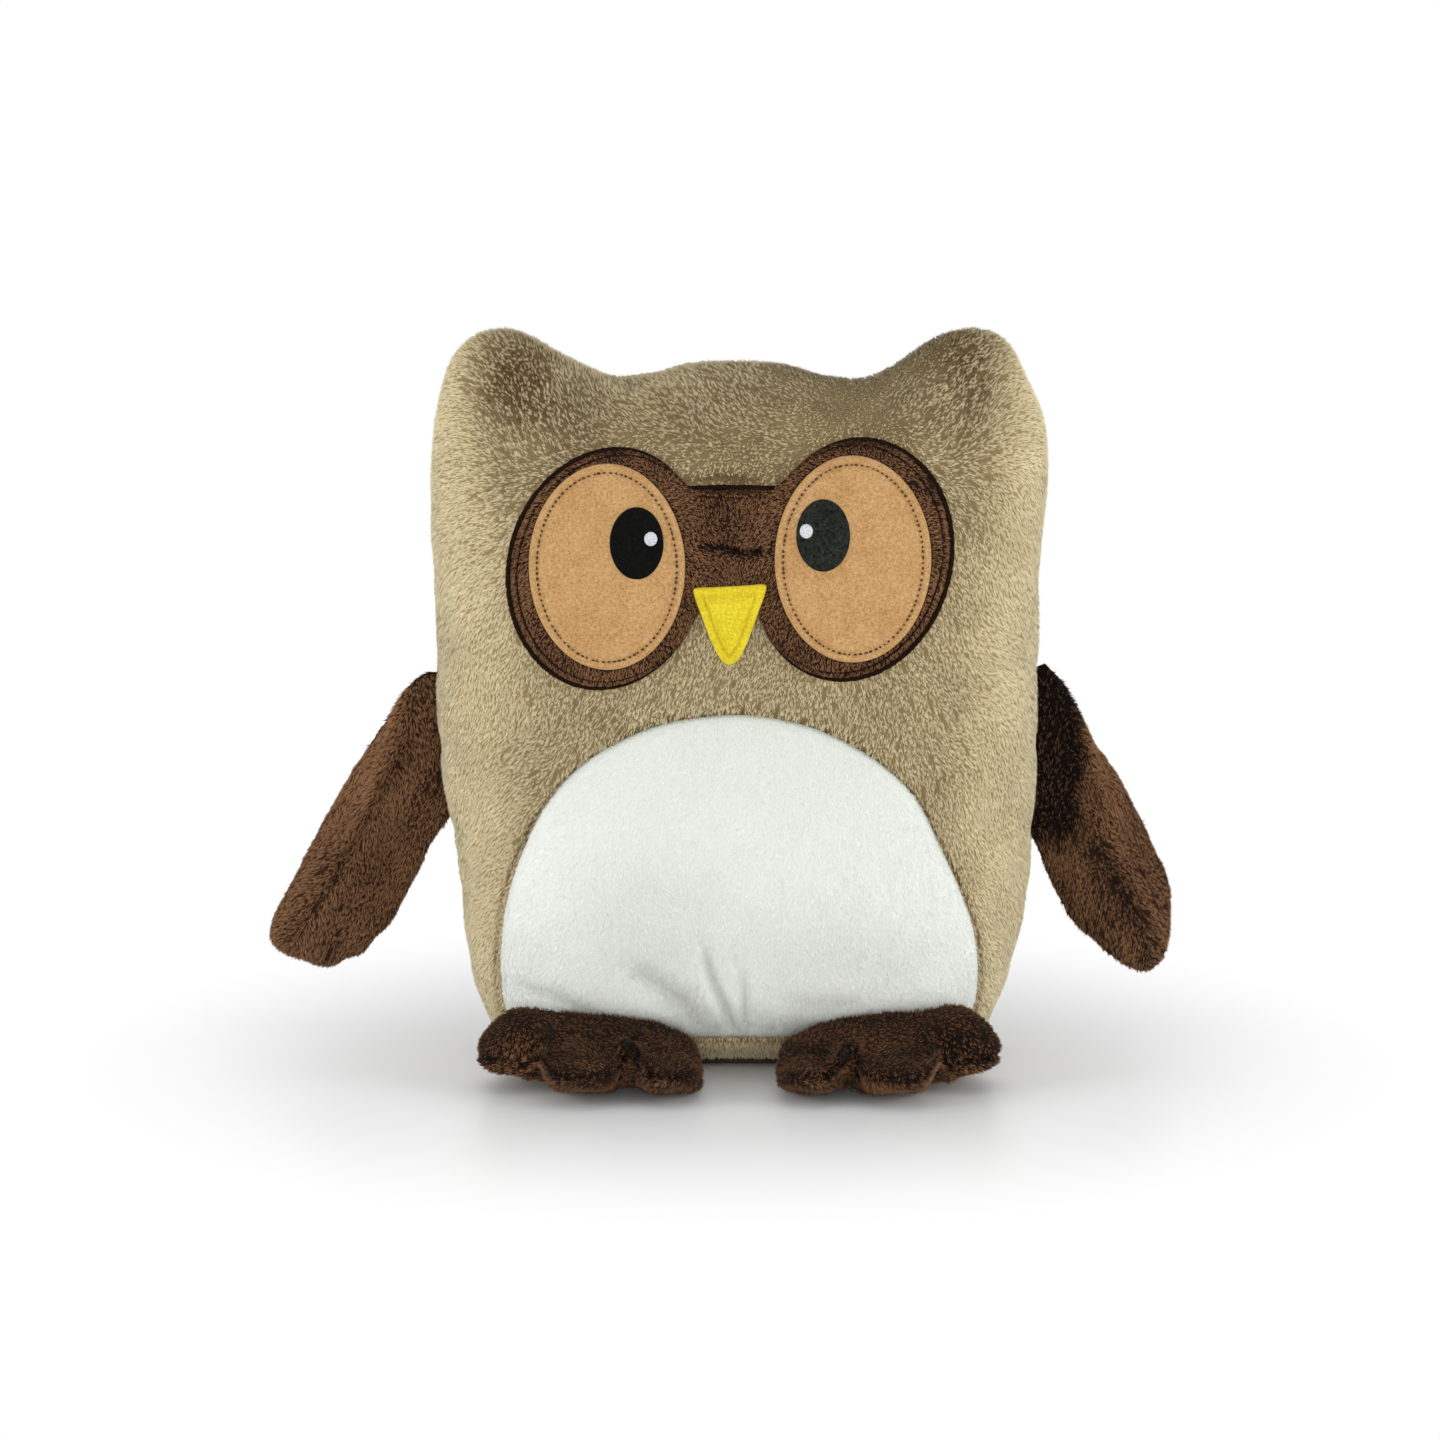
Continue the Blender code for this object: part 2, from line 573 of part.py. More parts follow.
def make_body(looks):
    """The skins, the belly insert, the base, the filling and the bag inside it."""
    floor = below_box("floor_cut", 0.0)
    over_base = below_box("over_base_cut", BASE_PANEL_THICKNESS + FIT_GAP)
    belly = belly_outline()
    hole = front_prism("belly_hole", inset_curve(belly, -FIT_GAP / 2))
    insert = front_prism("belly_insert", inset_curve(belly, FIT_GAP / 2))

    front = body_shell("front_panel", -1, looks["plush"])
    cut(front, hole)
    cut(front, floor)
    white = body_shell("belly_panel", -1, looks["white"])
    cut(white, insert, "INTERSECT")
    back = body_shell("back_panel", 1, looks["plush"])
    cut(back, floor)

    inset = SKIN_THICKNESS + FILLING_GAP
    wide = HEAD_HALF_WIDTH + CUT_OVERRUN
    base = body_solid("base_panel", inset, looks["base"])
    cut(base, box("base_slab", (-wide, -wide, 0.0), (wide, wide, BASE_PANEL_THICKNESS)), "INTERSECT")
    filling = body_solid("body_stuffing", inset, looks["stuffing"])
    cut(filling, over_base)
    make_pellet_bag(looks)
    cut(filling, pellet_pocket())


def make_face(looks):
    outline, middle = mask_outline()
    patch("eye_mask", outline, middle, PATCH_RING_SHARES, PILE_GAP, PILE_GAP + MASK_THICKNESS,
          looks["mask"])
    edging("mask_edging", looks["edging"])
    for side in ("left", "right"):
        make_eye(side, looks)
    make_beak(looks)


def limb_solid(name, surface, inset, finish):
    """A stuffed limb at an inset, closed at its edge seam."""
    upper = [surface(s, 1, inset) for s in reversed(LIMB_RING_SHARES)]
    lower = [surface(s, -1, inset) for s in LIMB_RING_SHARES[1:]]
    return lofted(name, upper + lower, surface(0.0, 1, inset)[0], surface(0.0, -1, inset)[0],
                  finish)


def limb_shell(name, surface, side, parting, finish):
    """One of a limb's two skins, out to its edge seam."""
    outer = [surface(s, side, 0.0) + parting for s in reversed(LIMB_RING_SHARES)]
    inner = [surface(s, side, SKIN_THICKNESS) + parting for s in LIMB_RING_SHARES]
    return lofted(name, outer + inner, surface(0.0, side, 0.0)[0] + parting,
                  surface(0.0, side, SKIN_THICKNESS)[0] + parting, finish)


def wing_root():
    """The two ends of the right wing's sewn edge, lower and upper, on the body's side seam."""
    rim = closed_curve(body_knots(), SPAN_STEPS)
    right = rim[(rim[:, 0] > 0) & (rim[:, 1] < HEAD_SIDE_HEIGHT) & (rim[:, 1] > 0)]
    right = right[np.argsort(right[:, 1])]
    level = WING_ROOT_HEIGHT + np.linspace(-WING_ROOT_HALF_LENGTH, WING_ROOT_HALF_LENGTH, EDGE_PLACES)
    side = np.interp(level, *right.T[::-1])
    lean = (side[-1] - side[0]) / (level[-1] - level[0])
    bulge = (side - side[0] - lean * (level - level[0])).max()
    side_x = side[[0, -1]] + bulge + FIT_GAP
    return np.column_stack([side_x, level[[0, -1]]])


def wing_point(side, share):
    """A point of the wing in the right wing's XZ plane, from its shares of the reach and drop."""
    low, _ = wing_root()
    reach = of_side(side, WING_LEFT_REACH, WING_RIGHT_REACH)
    drop = of_side(side, WING_LEFT_DROP, WING_RIGHT_DROP)
    return np.array([low[0] + share[0] * reach, WING_ROOT_HEIGHT + share[1] * drop])


def wing_outline(side):
    """The right wing's outline in the XZ plane, from its root's lower end and up it, bent outwards
    by the wing's own spread, more so towards its tip."""
    low, high = wing_root()
    root = (low + high) / 2
    rel = np.array([wing_point(side, share) for share in WING_SHARES]) - root
    far = np.linalg.norm(rel, axis=1)
    spread = of_side(side, WING_LEFT_SPREAD_SHARE, WING_RIGHT_SPREAD_SHARE)
    turn = spread * smoothstep(0.0, far.max(), far)
    knots = root + np.column_stack([
        rel[:, 0] * np.cos(turn) - rel[:, 1] * np.sin(turn),
        rel[:, 0] * np.sin(turn) + rel[:, 1] * np.cos(turn)])
    sewn = [root + a * (high - root) for a in WING_ROOT_SHARES]
    return np.vstack([sewn, knots[::-1]])


def wing_surface(side):
    """The wing's two faces as rings in the XZ plane, thin along its sewn root."""
    sign = side_sign(side)
    low, high = wing_root()
    centre = wing_point(side, WING_CENTRE_SHARES)

    def ring(share, face, inset):
        rim = inset_curve(closed_curve(wing_outline(side), OUTLINE_STEPS), inset)
        flat = centre + share * (rim - centre)
        away = flat[:, 0] - np.interp(flat[:, 1], (low[1], high[1]), (low[0], high[0]))
        full = WING_PINCH_SHARE + (1 - WING_PINCH_SHARE) * smoothstep(
            0.0, WING_PINCH_LENGTH, away)
        rise = np.maximum(WING_HALF_THICKNESS * full - inset, SKIN_THICKNESS * THINNEST_SHARE)
        y = face * rise * swell(share, LIMB_ROUNDNESS_SHARE)
        return np.column_stack([sign * flat[:, 0], y, flat[:, 1]])

    return ring


def wing_hinge(side):
    """A point on the wing's sewn edge and the way that edge runs, upwards."""
    low, high = wing_root()
    along = (high - low) / np.linalg.norm(high - low)
    point = (low + high) / 2 + WING_HINGE_INSET * np.array([along[1], -along[0]])
    sign = side_sign(side)
    return Vector((sign * point[0], 0.0, point[1])), Vector((sign * along[0], 0.0, along[1]))


def hang(limb, point, along):
    """Puts the limb's pieces under an empty on its hinge, whose Z runs along the sewn edge."""
    hinge = bpy.data.objects.new(f"{limb}_hinge", None)
    hinge.location = point
    hinge.rotation_euler = along.to_track_quat("Z", "Y").to_euler()
    bpy.context.scene.collection.objects.link(hinge)
    bpy.context.view_layer.update()
    print(hinge.name, [round(c, 5) for c in point], [round(c, 5) for c in along])
    for piece in [o for o in bpy.data.objects if o.name.startswith(limb + "_") and o.data]:
        piece.data.transform(hinge.matrix_world.inverted())
        piece.parent = hinge


def make_wing(side, looks):
    surface = wing_surface(side)
    finish = looks["wing"]
    parting = np.array([0.0, FIT_GAP / 2, 0.0])
    limb_shell(f"{side}_wing_front", surface, -1, -parting, finish)
    limb_shell(f"{side}_wing_back", surface, 1, parting, finish)
    limb_solid(f"{side}_wing_stuffing", surface, SKIN_THICKNESS + FILLING_GAP, looks["stuffing"])
    hang(f"{side}_wing", *wing_hinge(side))


def foot_root_y():
    """Where the foot's sewn edge lies, just clear of the body's front along its whole width."""
    first, *_, last = [FOOT_INNER_X + a * (FOOT_OUTER_X - FOOT_INNER_X)
                       for a, b in FOOT_SHARES if b == 0.0]
    across = np.linspace(first, last, EDGE_PLACES)
    level = np.full(EDGE_PLACES, FOOT_SEAM_HEIGHT)
    return float(front_surface(across, level).min()) - FIT_GAP


def foot_surface(side):
    """The foot's upper and sole as rings in the XY plane, thin along its sewn root."""
    sign = side_sign(side)
    run, root = FOOT_OUTER_X - FOOT_INNER_X, foot_root_y()
    knots = np.array([(FOOT_INNER_X + a * run, root - b * FOOT_LENGTH) for a, b in FOOT_SHARES])
    centre = np.array([FOOT_INNER_X + FOOT_CENTRE_SHARES[0] * run,
                       root - FOOT_CENTRE_SHARES[1] * FOOT_LENGTH])

    def ring(share, face, inset):
        flat = centre + share * (inset_curve(closed_curve(knots, OUTLINE_STEPS), inset) - centre)
        full = FOOT_PINCH_SHARE + (1 - FOOT_PINCH_SHARE) * smoothstep(
            0.0, FOOT_PINCH_LENGTH, root - flat[:, 1])
        rise = FOOT_RISE if face > 0 else FOOT_SEAM_HEIGHT + FORM_FLAT
        rise = np.maximum(rise * full - inset, SKIN_THICKNESS * THINNEST_SHARE)
        z = FOOT_SEAM_HEIGHT + face * rise * swell(share, LIMB_ROUNDNESS_SHARE)
        return np.column_stack([sign * flat[:, 0], flat[:, 1], z])

    return ring


def foot_hinge(side):
    """A point on the foot's sewn edge, and the way that edge runs."""
    middle = side_sign(side) * (FOOT_INNER_X + FOOT_OUTER_X) / 2
    point = Vector((middle, foot_root_y() - FOOT_HINGE_INSET, FOOT_SEAM_HEIGHT))
    return point, Vector((1.0, 0.0, 0.0))


def make_foot(side, looks):
    surface = foot_surface(side)
    finish = looks["foot"]
    parting = np.array([0.0, 0.0, FIT_GAP / 2])
    limb_shell(f"{side}_foot_upper", surface, 1, parting, finish)
    sole = limb_shell(f"{side}_foot_sole", surface, -1, -parting, finish)
    cut(sole, bpy.data.objects["floor_cut"])
    limb_solid(f"{side}_foot_stuffing", surface, SKIN_THICKNESS + FILLING_GAP, looks["stuffing"])
    hang(f"{side}_foot", *foot_hinge(side))


def finishes():
    """The colour and roughness of each cloth."""
    return {
        "plush": material("beige_plush", (0.42, 0.33, 0.18), 0.95),
        "white": material("white_plush", (0.82, 0.84, 0.82), 0.95),
        "mask": material("dark_brown_plush", (0.045, 0.022, 0.014), 0.95),
        "edging": material("dark_edging_thread", (0.016, 0.010, 0.009), 0.80),
        "felt": material("tan_felt", (0.60, 0.36, 0.15), 0.95),
        "pupil": material("black_felt", (0.010, 0.011, 0.012), 0.85),
        "highlight": material("white_thread", (0.78, 0.80, 0.83), 0.70),
        "beak": material("yellow_felt", (0.80, 0.73, 0.03), 0.95),
        "wing": material("brown_plush", (0.10, 0.055, 0.032), 0.95),
        "foot": material("chocolate_plush", (0.07, 0.035, 0.022), 0.95),
        "base": material("dark_base_cloth", (0.05, 0.04, 0.03), 0.95),
        "stuffing": material("polyester_filling", (0.85, 0.85, 0.84), 1.00),
        "bag": material("granule_bag_cloth", (0.70, 0.68, 0.60), 0.90),
    }


def main():
    for found in list(bpy.data.objects):
        bpy.data.objects.remove(found)
    looks = finishes()
    make_body(looks)
    make_face(looks)
    for side in ("left", "right"):
        make_wing(side, looks)
        make_foot(side, looks)


main()
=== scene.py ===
"""The looks of a standing plush owl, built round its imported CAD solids.

Metres, +Z up. The owl faces -Y; left is -X and right is +X, as seen from the front. Every soft
skin is a ball of quads shaped by the same pillow formula as the solids, swollen as stuffing swells
it, and covered with short tufts of pile that are real geometry. Names that end in _mm hold
millimetres, and so do the numbers of a Ripple's width and of fold().
"""

from __future__ import annotations

import json
import logging
import sys
from dataclasses import dataclass, field, replace
from enum import Enum
from typing import Callable, ClassVar, Sequence

import bmesh
import bpy
import numpy as np
from mathutils import Matrix, Vector

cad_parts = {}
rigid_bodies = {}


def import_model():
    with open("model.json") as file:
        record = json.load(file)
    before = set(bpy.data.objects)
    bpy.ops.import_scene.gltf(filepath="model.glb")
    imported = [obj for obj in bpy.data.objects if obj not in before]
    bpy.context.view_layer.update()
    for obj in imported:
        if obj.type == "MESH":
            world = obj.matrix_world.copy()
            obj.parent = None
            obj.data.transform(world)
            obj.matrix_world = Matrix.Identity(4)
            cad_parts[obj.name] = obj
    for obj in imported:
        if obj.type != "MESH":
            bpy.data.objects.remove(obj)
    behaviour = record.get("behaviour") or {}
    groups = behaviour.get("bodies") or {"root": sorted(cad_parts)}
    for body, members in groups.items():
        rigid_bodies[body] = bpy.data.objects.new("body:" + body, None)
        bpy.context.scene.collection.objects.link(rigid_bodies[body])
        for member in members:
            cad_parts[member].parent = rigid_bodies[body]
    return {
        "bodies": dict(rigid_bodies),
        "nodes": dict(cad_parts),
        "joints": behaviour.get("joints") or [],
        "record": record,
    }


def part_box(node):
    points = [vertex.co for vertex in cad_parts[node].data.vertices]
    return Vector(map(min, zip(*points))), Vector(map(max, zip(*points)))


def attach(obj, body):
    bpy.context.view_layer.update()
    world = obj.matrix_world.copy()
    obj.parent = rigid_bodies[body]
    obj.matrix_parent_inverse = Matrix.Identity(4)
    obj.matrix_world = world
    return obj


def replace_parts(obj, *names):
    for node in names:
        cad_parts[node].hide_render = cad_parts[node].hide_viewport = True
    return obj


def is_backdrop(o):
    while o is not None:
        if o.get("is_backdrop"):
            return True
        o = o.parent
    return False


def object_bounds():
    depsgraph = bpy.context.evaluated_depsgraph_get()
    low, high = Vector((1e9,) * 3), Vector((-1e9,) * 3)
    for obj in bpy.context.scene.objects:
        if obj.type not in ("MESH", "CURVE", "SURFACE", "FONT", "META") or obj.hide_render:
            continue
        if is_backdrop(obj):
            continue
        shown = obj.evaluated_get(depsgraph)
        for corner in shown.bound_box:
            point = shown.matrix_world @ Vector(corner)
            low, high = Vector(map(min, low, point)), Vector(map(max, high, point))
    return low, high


MM = 0.001
LOG = logging.getLogger("plush_owl")

Array = np.ndarray
Place = Callable[[Array, Array], Array]
Relief = Callable[[Array, Array], Array]


class Side(Enum):
    """Which of a pair, as seen from the front."""

    LEFT = "left"
    RIGHT = "right"

    @property
    def sign(self) -> float:
        """-1 for the left, 1 for the right."""
        return -1.0 if self is Side.LEFT else 1.0

    def pick(self, pair: Sequence) -> object:
        """This side's one of a pair that is given left first."""
        return pair[self is Side.RIGHT]


# Numbers and curves


def smoothstep(low: float, high: float, value: Array) -> Array:
    """0 below low, 1 above high, and an even S between them."""
    t = np.clip((np.asarray(value, float) - low) / (high - low), 0.0, 1.0)
    return t * t * (3.0 - 2.0 * t)


def fade(low: float, high: float, value: Array) -> Array:
    """1 below low, 0 above high, and an even S between them."""
    return 1 - smoothstep(low, high, value)


def bell(away: Array, width: float, power: int = 2) -> Array:
    """1 where a distance is 0, fading to nothing a few widths away, more squarely at a power."""
    return np.exp(-((away / width) ** power))


def scattered(cells: Array, seed: int) -> Array:
    """A fixed number from -1 to 1 for each whole-numbered cell.

    Args:
        cells: whole numbers, one row of three for each point.
        seed: another seed gives other numbers.

    Returns:
        One number for each row.
    """
    x, y, z = (cells[:, i].astype(np.int64) for i in range(3))
    mixed = (x * 73856093) ^ (y * 19349663) ^ (z * 83492791) ^ (seed * 2654435761)
    mixed = ((mixed ^ (mixed >> 13)) * 1274126177) & 0x7FFFFFFF
    mixed = ((mixed ^ (mixed >> 15)) * 1103515245) & 0x7FFFFFFF
    return mixed / float(0x3FFFFFFF) - 1.0


@dataclass(frozen=True)
class Ripple:
    """Smooth random waviness: how strong it is, how wide its lumps are, and its seed."""

    strength: float
    width_mm: float
    seed: int

    def at(self, points: Array) -> Array:
        """The waviness over space.

        Args:
            points: one row of three for each point.

        Returns:
            A number for each point, from minus to plus the strength.
        """
        at = points / (self.width_mm * MM)
        cell = np.floor(at).astype(np.int64)
        t = at - cell
        t = t * t * (3.0 - 2.0 * t)
        total = np.zeros(len(points))
        for corner in range(8):
            step = np.array([corner & 1, corner >> 1 & 1, corner >> 2 & 1])
            weight = np.prod(np.where(step, t, 1.0 - t), axis=1)
            total += weight * scattered(cell + step, self.seed)
        return self.strength * total


def rippled(ripples: Sequence[Ripple], points: Array) -> Array:
    """Several ripples added together."""
    return sum(ripple.at(points) for ripple in ripples)


def nearest_tuft(points: Array, scale: float, seed: int) -> Array:
    """The centre of the clump of pile that each point belongs to.

    Args:
        points: one row of three for each point.
        scale: about how far apart the clumps are.
        seed: another seed gives other clumps.

    Returns:
        A centre for each point.
    """
    cell = np.floor(points / scale).astype(np.int64)
    best = np.full(len(points), np.inf)
    found = points.copy()
    for step in np.ndindex(3, 3, 3):
        near = cell + np.array(step) - 1
        offset = np.column_stack([scattered(near, seed + i) for i in range(3)])
        centre = (near + 0.5 + 0.45 * offset) * scale
        away = ((centre - points) ** 2).sum(1)
        found = np.where((away < best)[:, None], centre, found)
        best = np.minimum(best, away)
    return found


def unit(vectors: Array) -> Array:
    """The vectors at a length of 1."""
    return vectors / np.maximum(np.linalg.norm(vectors, axis=1), 1e-12)[:, None]


def turned(along: Array, normals: Array, angle: Array) -> Array:
    """Ways along a surface turned about its normals by an angle each, in radians."""
    flat = unit(along - (along * normals).sum(1)[:, None] * normals)
    return flat * np.cos(angle)[:, None] + np.cross(normals, flat) * np.sin(angle)[:, None]


def closed_curve(knots: Sequence[Sequence[float]], steps: int) -> Array:
    """The smooth closed curve through the knots.

    Args:
        knots: points in a plane, in order round the curve.
        steps: points for each span between two knots.

    Returns:
        The curve's points, one row each.
    """
    known = np.asarray(knots, float)
    u = (np.arange(steps) / steps)[:, None]
    spans = []
    for i in range(len(known)):
        a, b, c, d = (known[(i + k) % len(known)] for k in (-1, 0, 1, 2))
        t1 = np.linalg.norm(b - a) ** 0.5
        t2 = t1 + np.linalg.norm(c - b) ** 0.5
        t3 = t2 + np.linalg.norm(d - c) ** 0.5
        t = t1 + (t2 - t1) * u
        ab = a + (b - a) * t / t1
        bc = b + (c - b) * (t - t1) / (t2 - t1)
        cd = c + (d - c) * (t - t2) / (t3 - t2)
        abc = ab + (bc - ab) * t / t2
        bcd = bc + (cd - bc) * (t - t1) / (t3 - t1)
        spans.append(abc + (bcd - abc) * (t - t1) / (t2 - t1))
    return np.concatenate(spans)


def mirrored_round(left: Sequence[Sequence[float]],
                   right: Sequence[Sequence[float]] | None = None) -> Array:
    """Half outlines, each from the top middle to the bottom middle at +x, made whole.

    Args:
        left: the left half, still at +x.
        right: the right half, or none where it mirrors the left one.

    Returns:
        The whole outline's knots.
    """
    other = left if right is None else right
    return np.asarray([(-x, z) for x, z in left] + [(x, z) for x, z in other[-2:0:-1]], float)


@dataclass(frozen=True)
class Outline:
    """A closed outline in a plane, known by its reach in each direction from a point inside."""

    centre: tuple[float, float]
    points: Array

    def reach(self, turn: Array) -> Array:
        """How far the outline is from its centre.

        Args:
            turn: directions from the centre, in radians.

        Returns:
            A distance for each direction.
        """
        out = self.points - np.asarray(self.centre)
        angle = np.arctan2(out[:, 1], out[:, 0])
        order = np.argsort(angle)
        return np.interp(turn, angle[order], np.hypot(*out.T)[order], period=2 * np.pi)

    def share(self, x: Array, z: Array) -> Array:
        """How far out a point lies: 0 at the centre, 1 on the outline."""
        dx, dz = x - self.centre[0], z - self.centre[1]
        return np.hypot(dx, dz) / self.reach(np.arctan2(dz, dx))

    def inside(self, x: Array, z: Array, margin: float) -> Array:
        """Whether points lie inside the outline by more than a margin."""
        dx, dz = x - self.centre[0], z - self.centre[1]
        return np.hypot(dx, dz) < self.reach(np.arctan2(dz, dx)) - margin

    def at(self, away: Array, turn: Array) -> tuple[Array, Array]:
        """The places that are this far from the centre in each direction."""
        return self.centre[0] + away * np.cos(turn), self.centre[1] + away * np.sin(turn)


def ellipse(centre: tuple[float, float], half_width: float, half_height: float) -> Outline:
    """An upright ellipse as an outline.

    Args:
        centre: its middle.
        half_width: half its width.
        half_height: half its height.

    Returns:
        The outline.
    """
    turn = np.linspace(0, 2 * np.pi, 180, endpoint=False)
    points = np.column_stack([centre[0] + half_width * np.cos(turn),
                              centre[1] + half_height * np.sin(turn)])
    return Outline(centre, points)


@dataclass(frozen=True)
class Crease:
    """A soft fold pressed into cloth, along a line of points in a plane."""

    line: tuple[tuple[float, float], ...]
    width: float
    depth: float

    def press(self, x: Array, z: Array) -> Array:
        """How deep the fold is, fading out at its ends.

        Args:
            x: the points' first coordinate.
            z: the points' second coordinate.

        Returns:
            A depth for each point.
        """
        knots = np.asarray(self.line, float)
        here = np.column_stack([x, z])
        depth = np.zeros(len(here))
        spans = len(knots) - 1
        for i in range(spans):
            a, b = knots[i], knots[i + 1]
            run = b - a
            t = np.clip(((here - a) @ run) / (run @ run), 0, 1)
            away = np.linalg.norm(here - a - t[:, None] * run, axis=1)
            ends = np.sin(np.pi * np.clip((i + t) / spans, 0.02, 0.98)) ** 0.6
            depth = np.maximum(depth, self.depth * ends * bell(away, self.width))
        return depth


def fold(line_mm: Sequence[tuple[float, float]], width_mm: float, depth_mm: float) -> Crease:
    """A crease from sizes in millimetres."""
    return Crease(tuple((x * MM, z * MM) for x, z in line_mm), width_mm * MM, depth_mm * MM)


# Meshes


def ball(columns: int, rows: int) -> tuple[bmesh.types.BMesh, Array, Array]:
    """A ball of quads to be shaped.

    Args:
        columns: faces round it.
        rows: faces from pole to pole.

    Returns:
        The mesh, each vertex's way down from pole to pole (0 to 1), and its turn round in radians.
    """
    bm = bmesh.new()
    bmesh.ops.create_uvsphere(bm, u_segments=columns, v_segments=rows, radius=1.0)
    co = corners_of(bm)
    down = np.round(np.arccos(np.clip(co[:, 2], -1, 1)) / np.pi * rows) / rows
    return bm, down, np.arctan2(co[:, 1], co[:, 0])


def corners_of(bm: bmesh.types.BMesh) -> Array:
    """The places of the mesh's vertices."""
    return np.array([v.co[:] for v in bm.verts])


def put(bm: bmesh.types.BMesh, places: Array) -> None:
    """Moves the mesh's vertices to these places."""
    for vert, place in zip(bm.verts, places):
        vert.co = place


def outward(bm: bmesh.types.BMesh) -> None:
    """Turns every face of a closed mesh outwards."""
    bmesh.ops.recalc_face_normals(bm, faces=bm.faces)
    if bm.calc_volume(signed=True) < 0:
        bmesh.ops.reverse_faces(bm, faces=bm.faces)
    bm.normal_update()


def vertex_normals(bm: bmesh.types.BMesh) -> Array:
    """The normal at each vertex."""
    bm.normal_update()
    return np.array([v.normal[:] for v in bm.verts])


def enlist(name: str, mesh: bpy.types.Mesh, material: bpy.types.Material, body: str,
           slot: str) -> bpy.types.Object:
    """An object in the scene that holds a mesh, in its finish, riding on its body.

    Args:
        name: the piece's name.
        mesh: its mesh.
        material: its finish.
        body: the CAD body that it moves with.
        slot: the record's slot of its finish; not used.

    Returns:
        The object.
    """
    made = bpy.data.objects.new(name, mesh)
    bpy.context.scene.collection.objects.link(made)
    mesh.materials.append(material)
    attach(made, body)
    LOG.info("%s: %d faces", name, len(mesh.polygons))
    return made


def piece(name: str, bm: bmesh.types.BMesh, material: bpy.types.Material, body: str,
          slot: str) -> bpy.types.Object:
    """A smooth piece from a bmesh, which is freed; the rest is as in enlist."""
    mesh = bpy.data.meshes.new(name)
    bm.to_mesh(mesh)
    bm.free()
    mesh.shade_smooth()
    return enlist(name, mesh, material, body, slot)


@dataclass(frozen=True)
class Stuffing:
    """Air pressure inside a sewn skin, run as cloth, in place of the fibre that fills it."""

    pressure: float = 4.0
    slack: float = 0.01
    frames: int = 20
    most: float = 3.5 * MM

    def swell(self, place: Place, columns: int, rows: int,
              held: Callable[[Array], Array]) -> Array:
        """How far each point of a coarse copy of a skin moves as it fills.

        Args:
            place: gives the skin's points from their ways down and turns round.
            columns: points round the coarse copy.
            rows: rows from pole to pole.
            held: gives how firmly seams hold each point, 0 to 1.
        """
        moves = np.zeros((rows + 1, columns, 3))
        bm, down, turn = ball(columns, rows)
        start = place(down, turn)
        put(bm, start)
        outward(bm)
        mesh = bpy.data.meshes.new("filling")
        bm.to_mesh(mesh)
        bm.free()
        bag = bpy.data.objects.new("filling", mesh)
        scene = bpy.context.scene
        scene.collection.objects.link(bag)
        self.sew_up(bag, held(start))
        for frame in range(1, self.frames + 1):
            scene.frame_set(frame)
        filled = bag.evaluated_get(bpy.context.evaluated_depsgraph_get())
        move = np.array([v.co[:] for v in filled.data.vertices]) - start
        far = np.linalg.norm(move, axis=1)[:, None]
        move = move * np.minimum(1.0, self.most / np.maximum(far, 1e-9))
        scene.frame_set(1)
        bpy.data.objects.remove(bag)
        row = np.round(down * rows).astype(int)
        column = np.round(turn / (2 * np.pi) * columns).astype(int) % columns
        moves[row, column] = move
        # The poles' thin triangles twist as cloth, so the three rows there move as one.
        for pole, inward in ((0, 1), (rows, -1)):
            calm = moves[pole + 3 * inward].mean(0)
            for i in range(3):
                moves[pole + i * inward] = calm
        return moves

    def sew_up(self, bag: bpy.types.Object, firmness: Array) -> None:
        """Makes an object a bag of cloth under pressure.

        Args:
            bag: the object.
            firmness: how firmly seams hold each vertex, 0 to 1.
        """
        group = bag.vertex_groups.new(name="seams")
        for i, firm in enumerate(firmness):
            group.add([i], float(firm), "REPLACE")
        cloth = bag.modifiers.new("cloth", "CLOTH")
        cloth.point_cache.frame_start, cloth.point_cache.frame_end = 1, self.frames
        settings = cloth.settings
        settings.vertex_group_mass = "seams"
        settings.use_pressure = True
        settings.uniform_pressure_force = self.pressure
        settings.shrink_min = -self.slack
        settings.effector_weights.gravity = 0.0


def between(moves: Array, down: Array, turn: Array) -> Array:
    """The moves of a coarse grid read off at finer points.

    Args:
        moves: the grid, rows by columns by 3.
        down: each point's way down from pole to pole, 0 to 1.
        turn: its turn round, in radians.

    Returns:
        A move for each point.
    """
    rows, columns = moves.shape[0] - 1, moves.shape[1]
    r = np.clip(down, 0, 1) * rows
    c = (turn / (2 * np.pi) % 1.0) * columns
    r0 = np.minimum(r.astype(int), rows - 1)
    c0 = c.astype(int) % columns
    s, t = (r - r0)[:, None], (c - np.floor(c))[:, None]
    c1 = (c0 + 1) % columns
    upper = moves[r0, c0] * (1 - t) + moves[r0, c1] * t
    return upper * (1 - s) + (moves[r0 + 1, c0] * (1 - t) + moves[r0 + 1, c1] * t) * s


# Materials


def linear(colour: str) -> tuple[float, float, float, float]:
    """An sRGB hex colour as linear RGBA."""
    parts = [int(colour[i:i + 2], 16) / 255 for i in (1, 3, 5)]
    bent = [p / 12.92 if p <= 0.04045 else ((p + 0.055) / 1.055) ** 2.4 for p in parts]
    return (bent[0], bent[1], bent[2], 1.0)


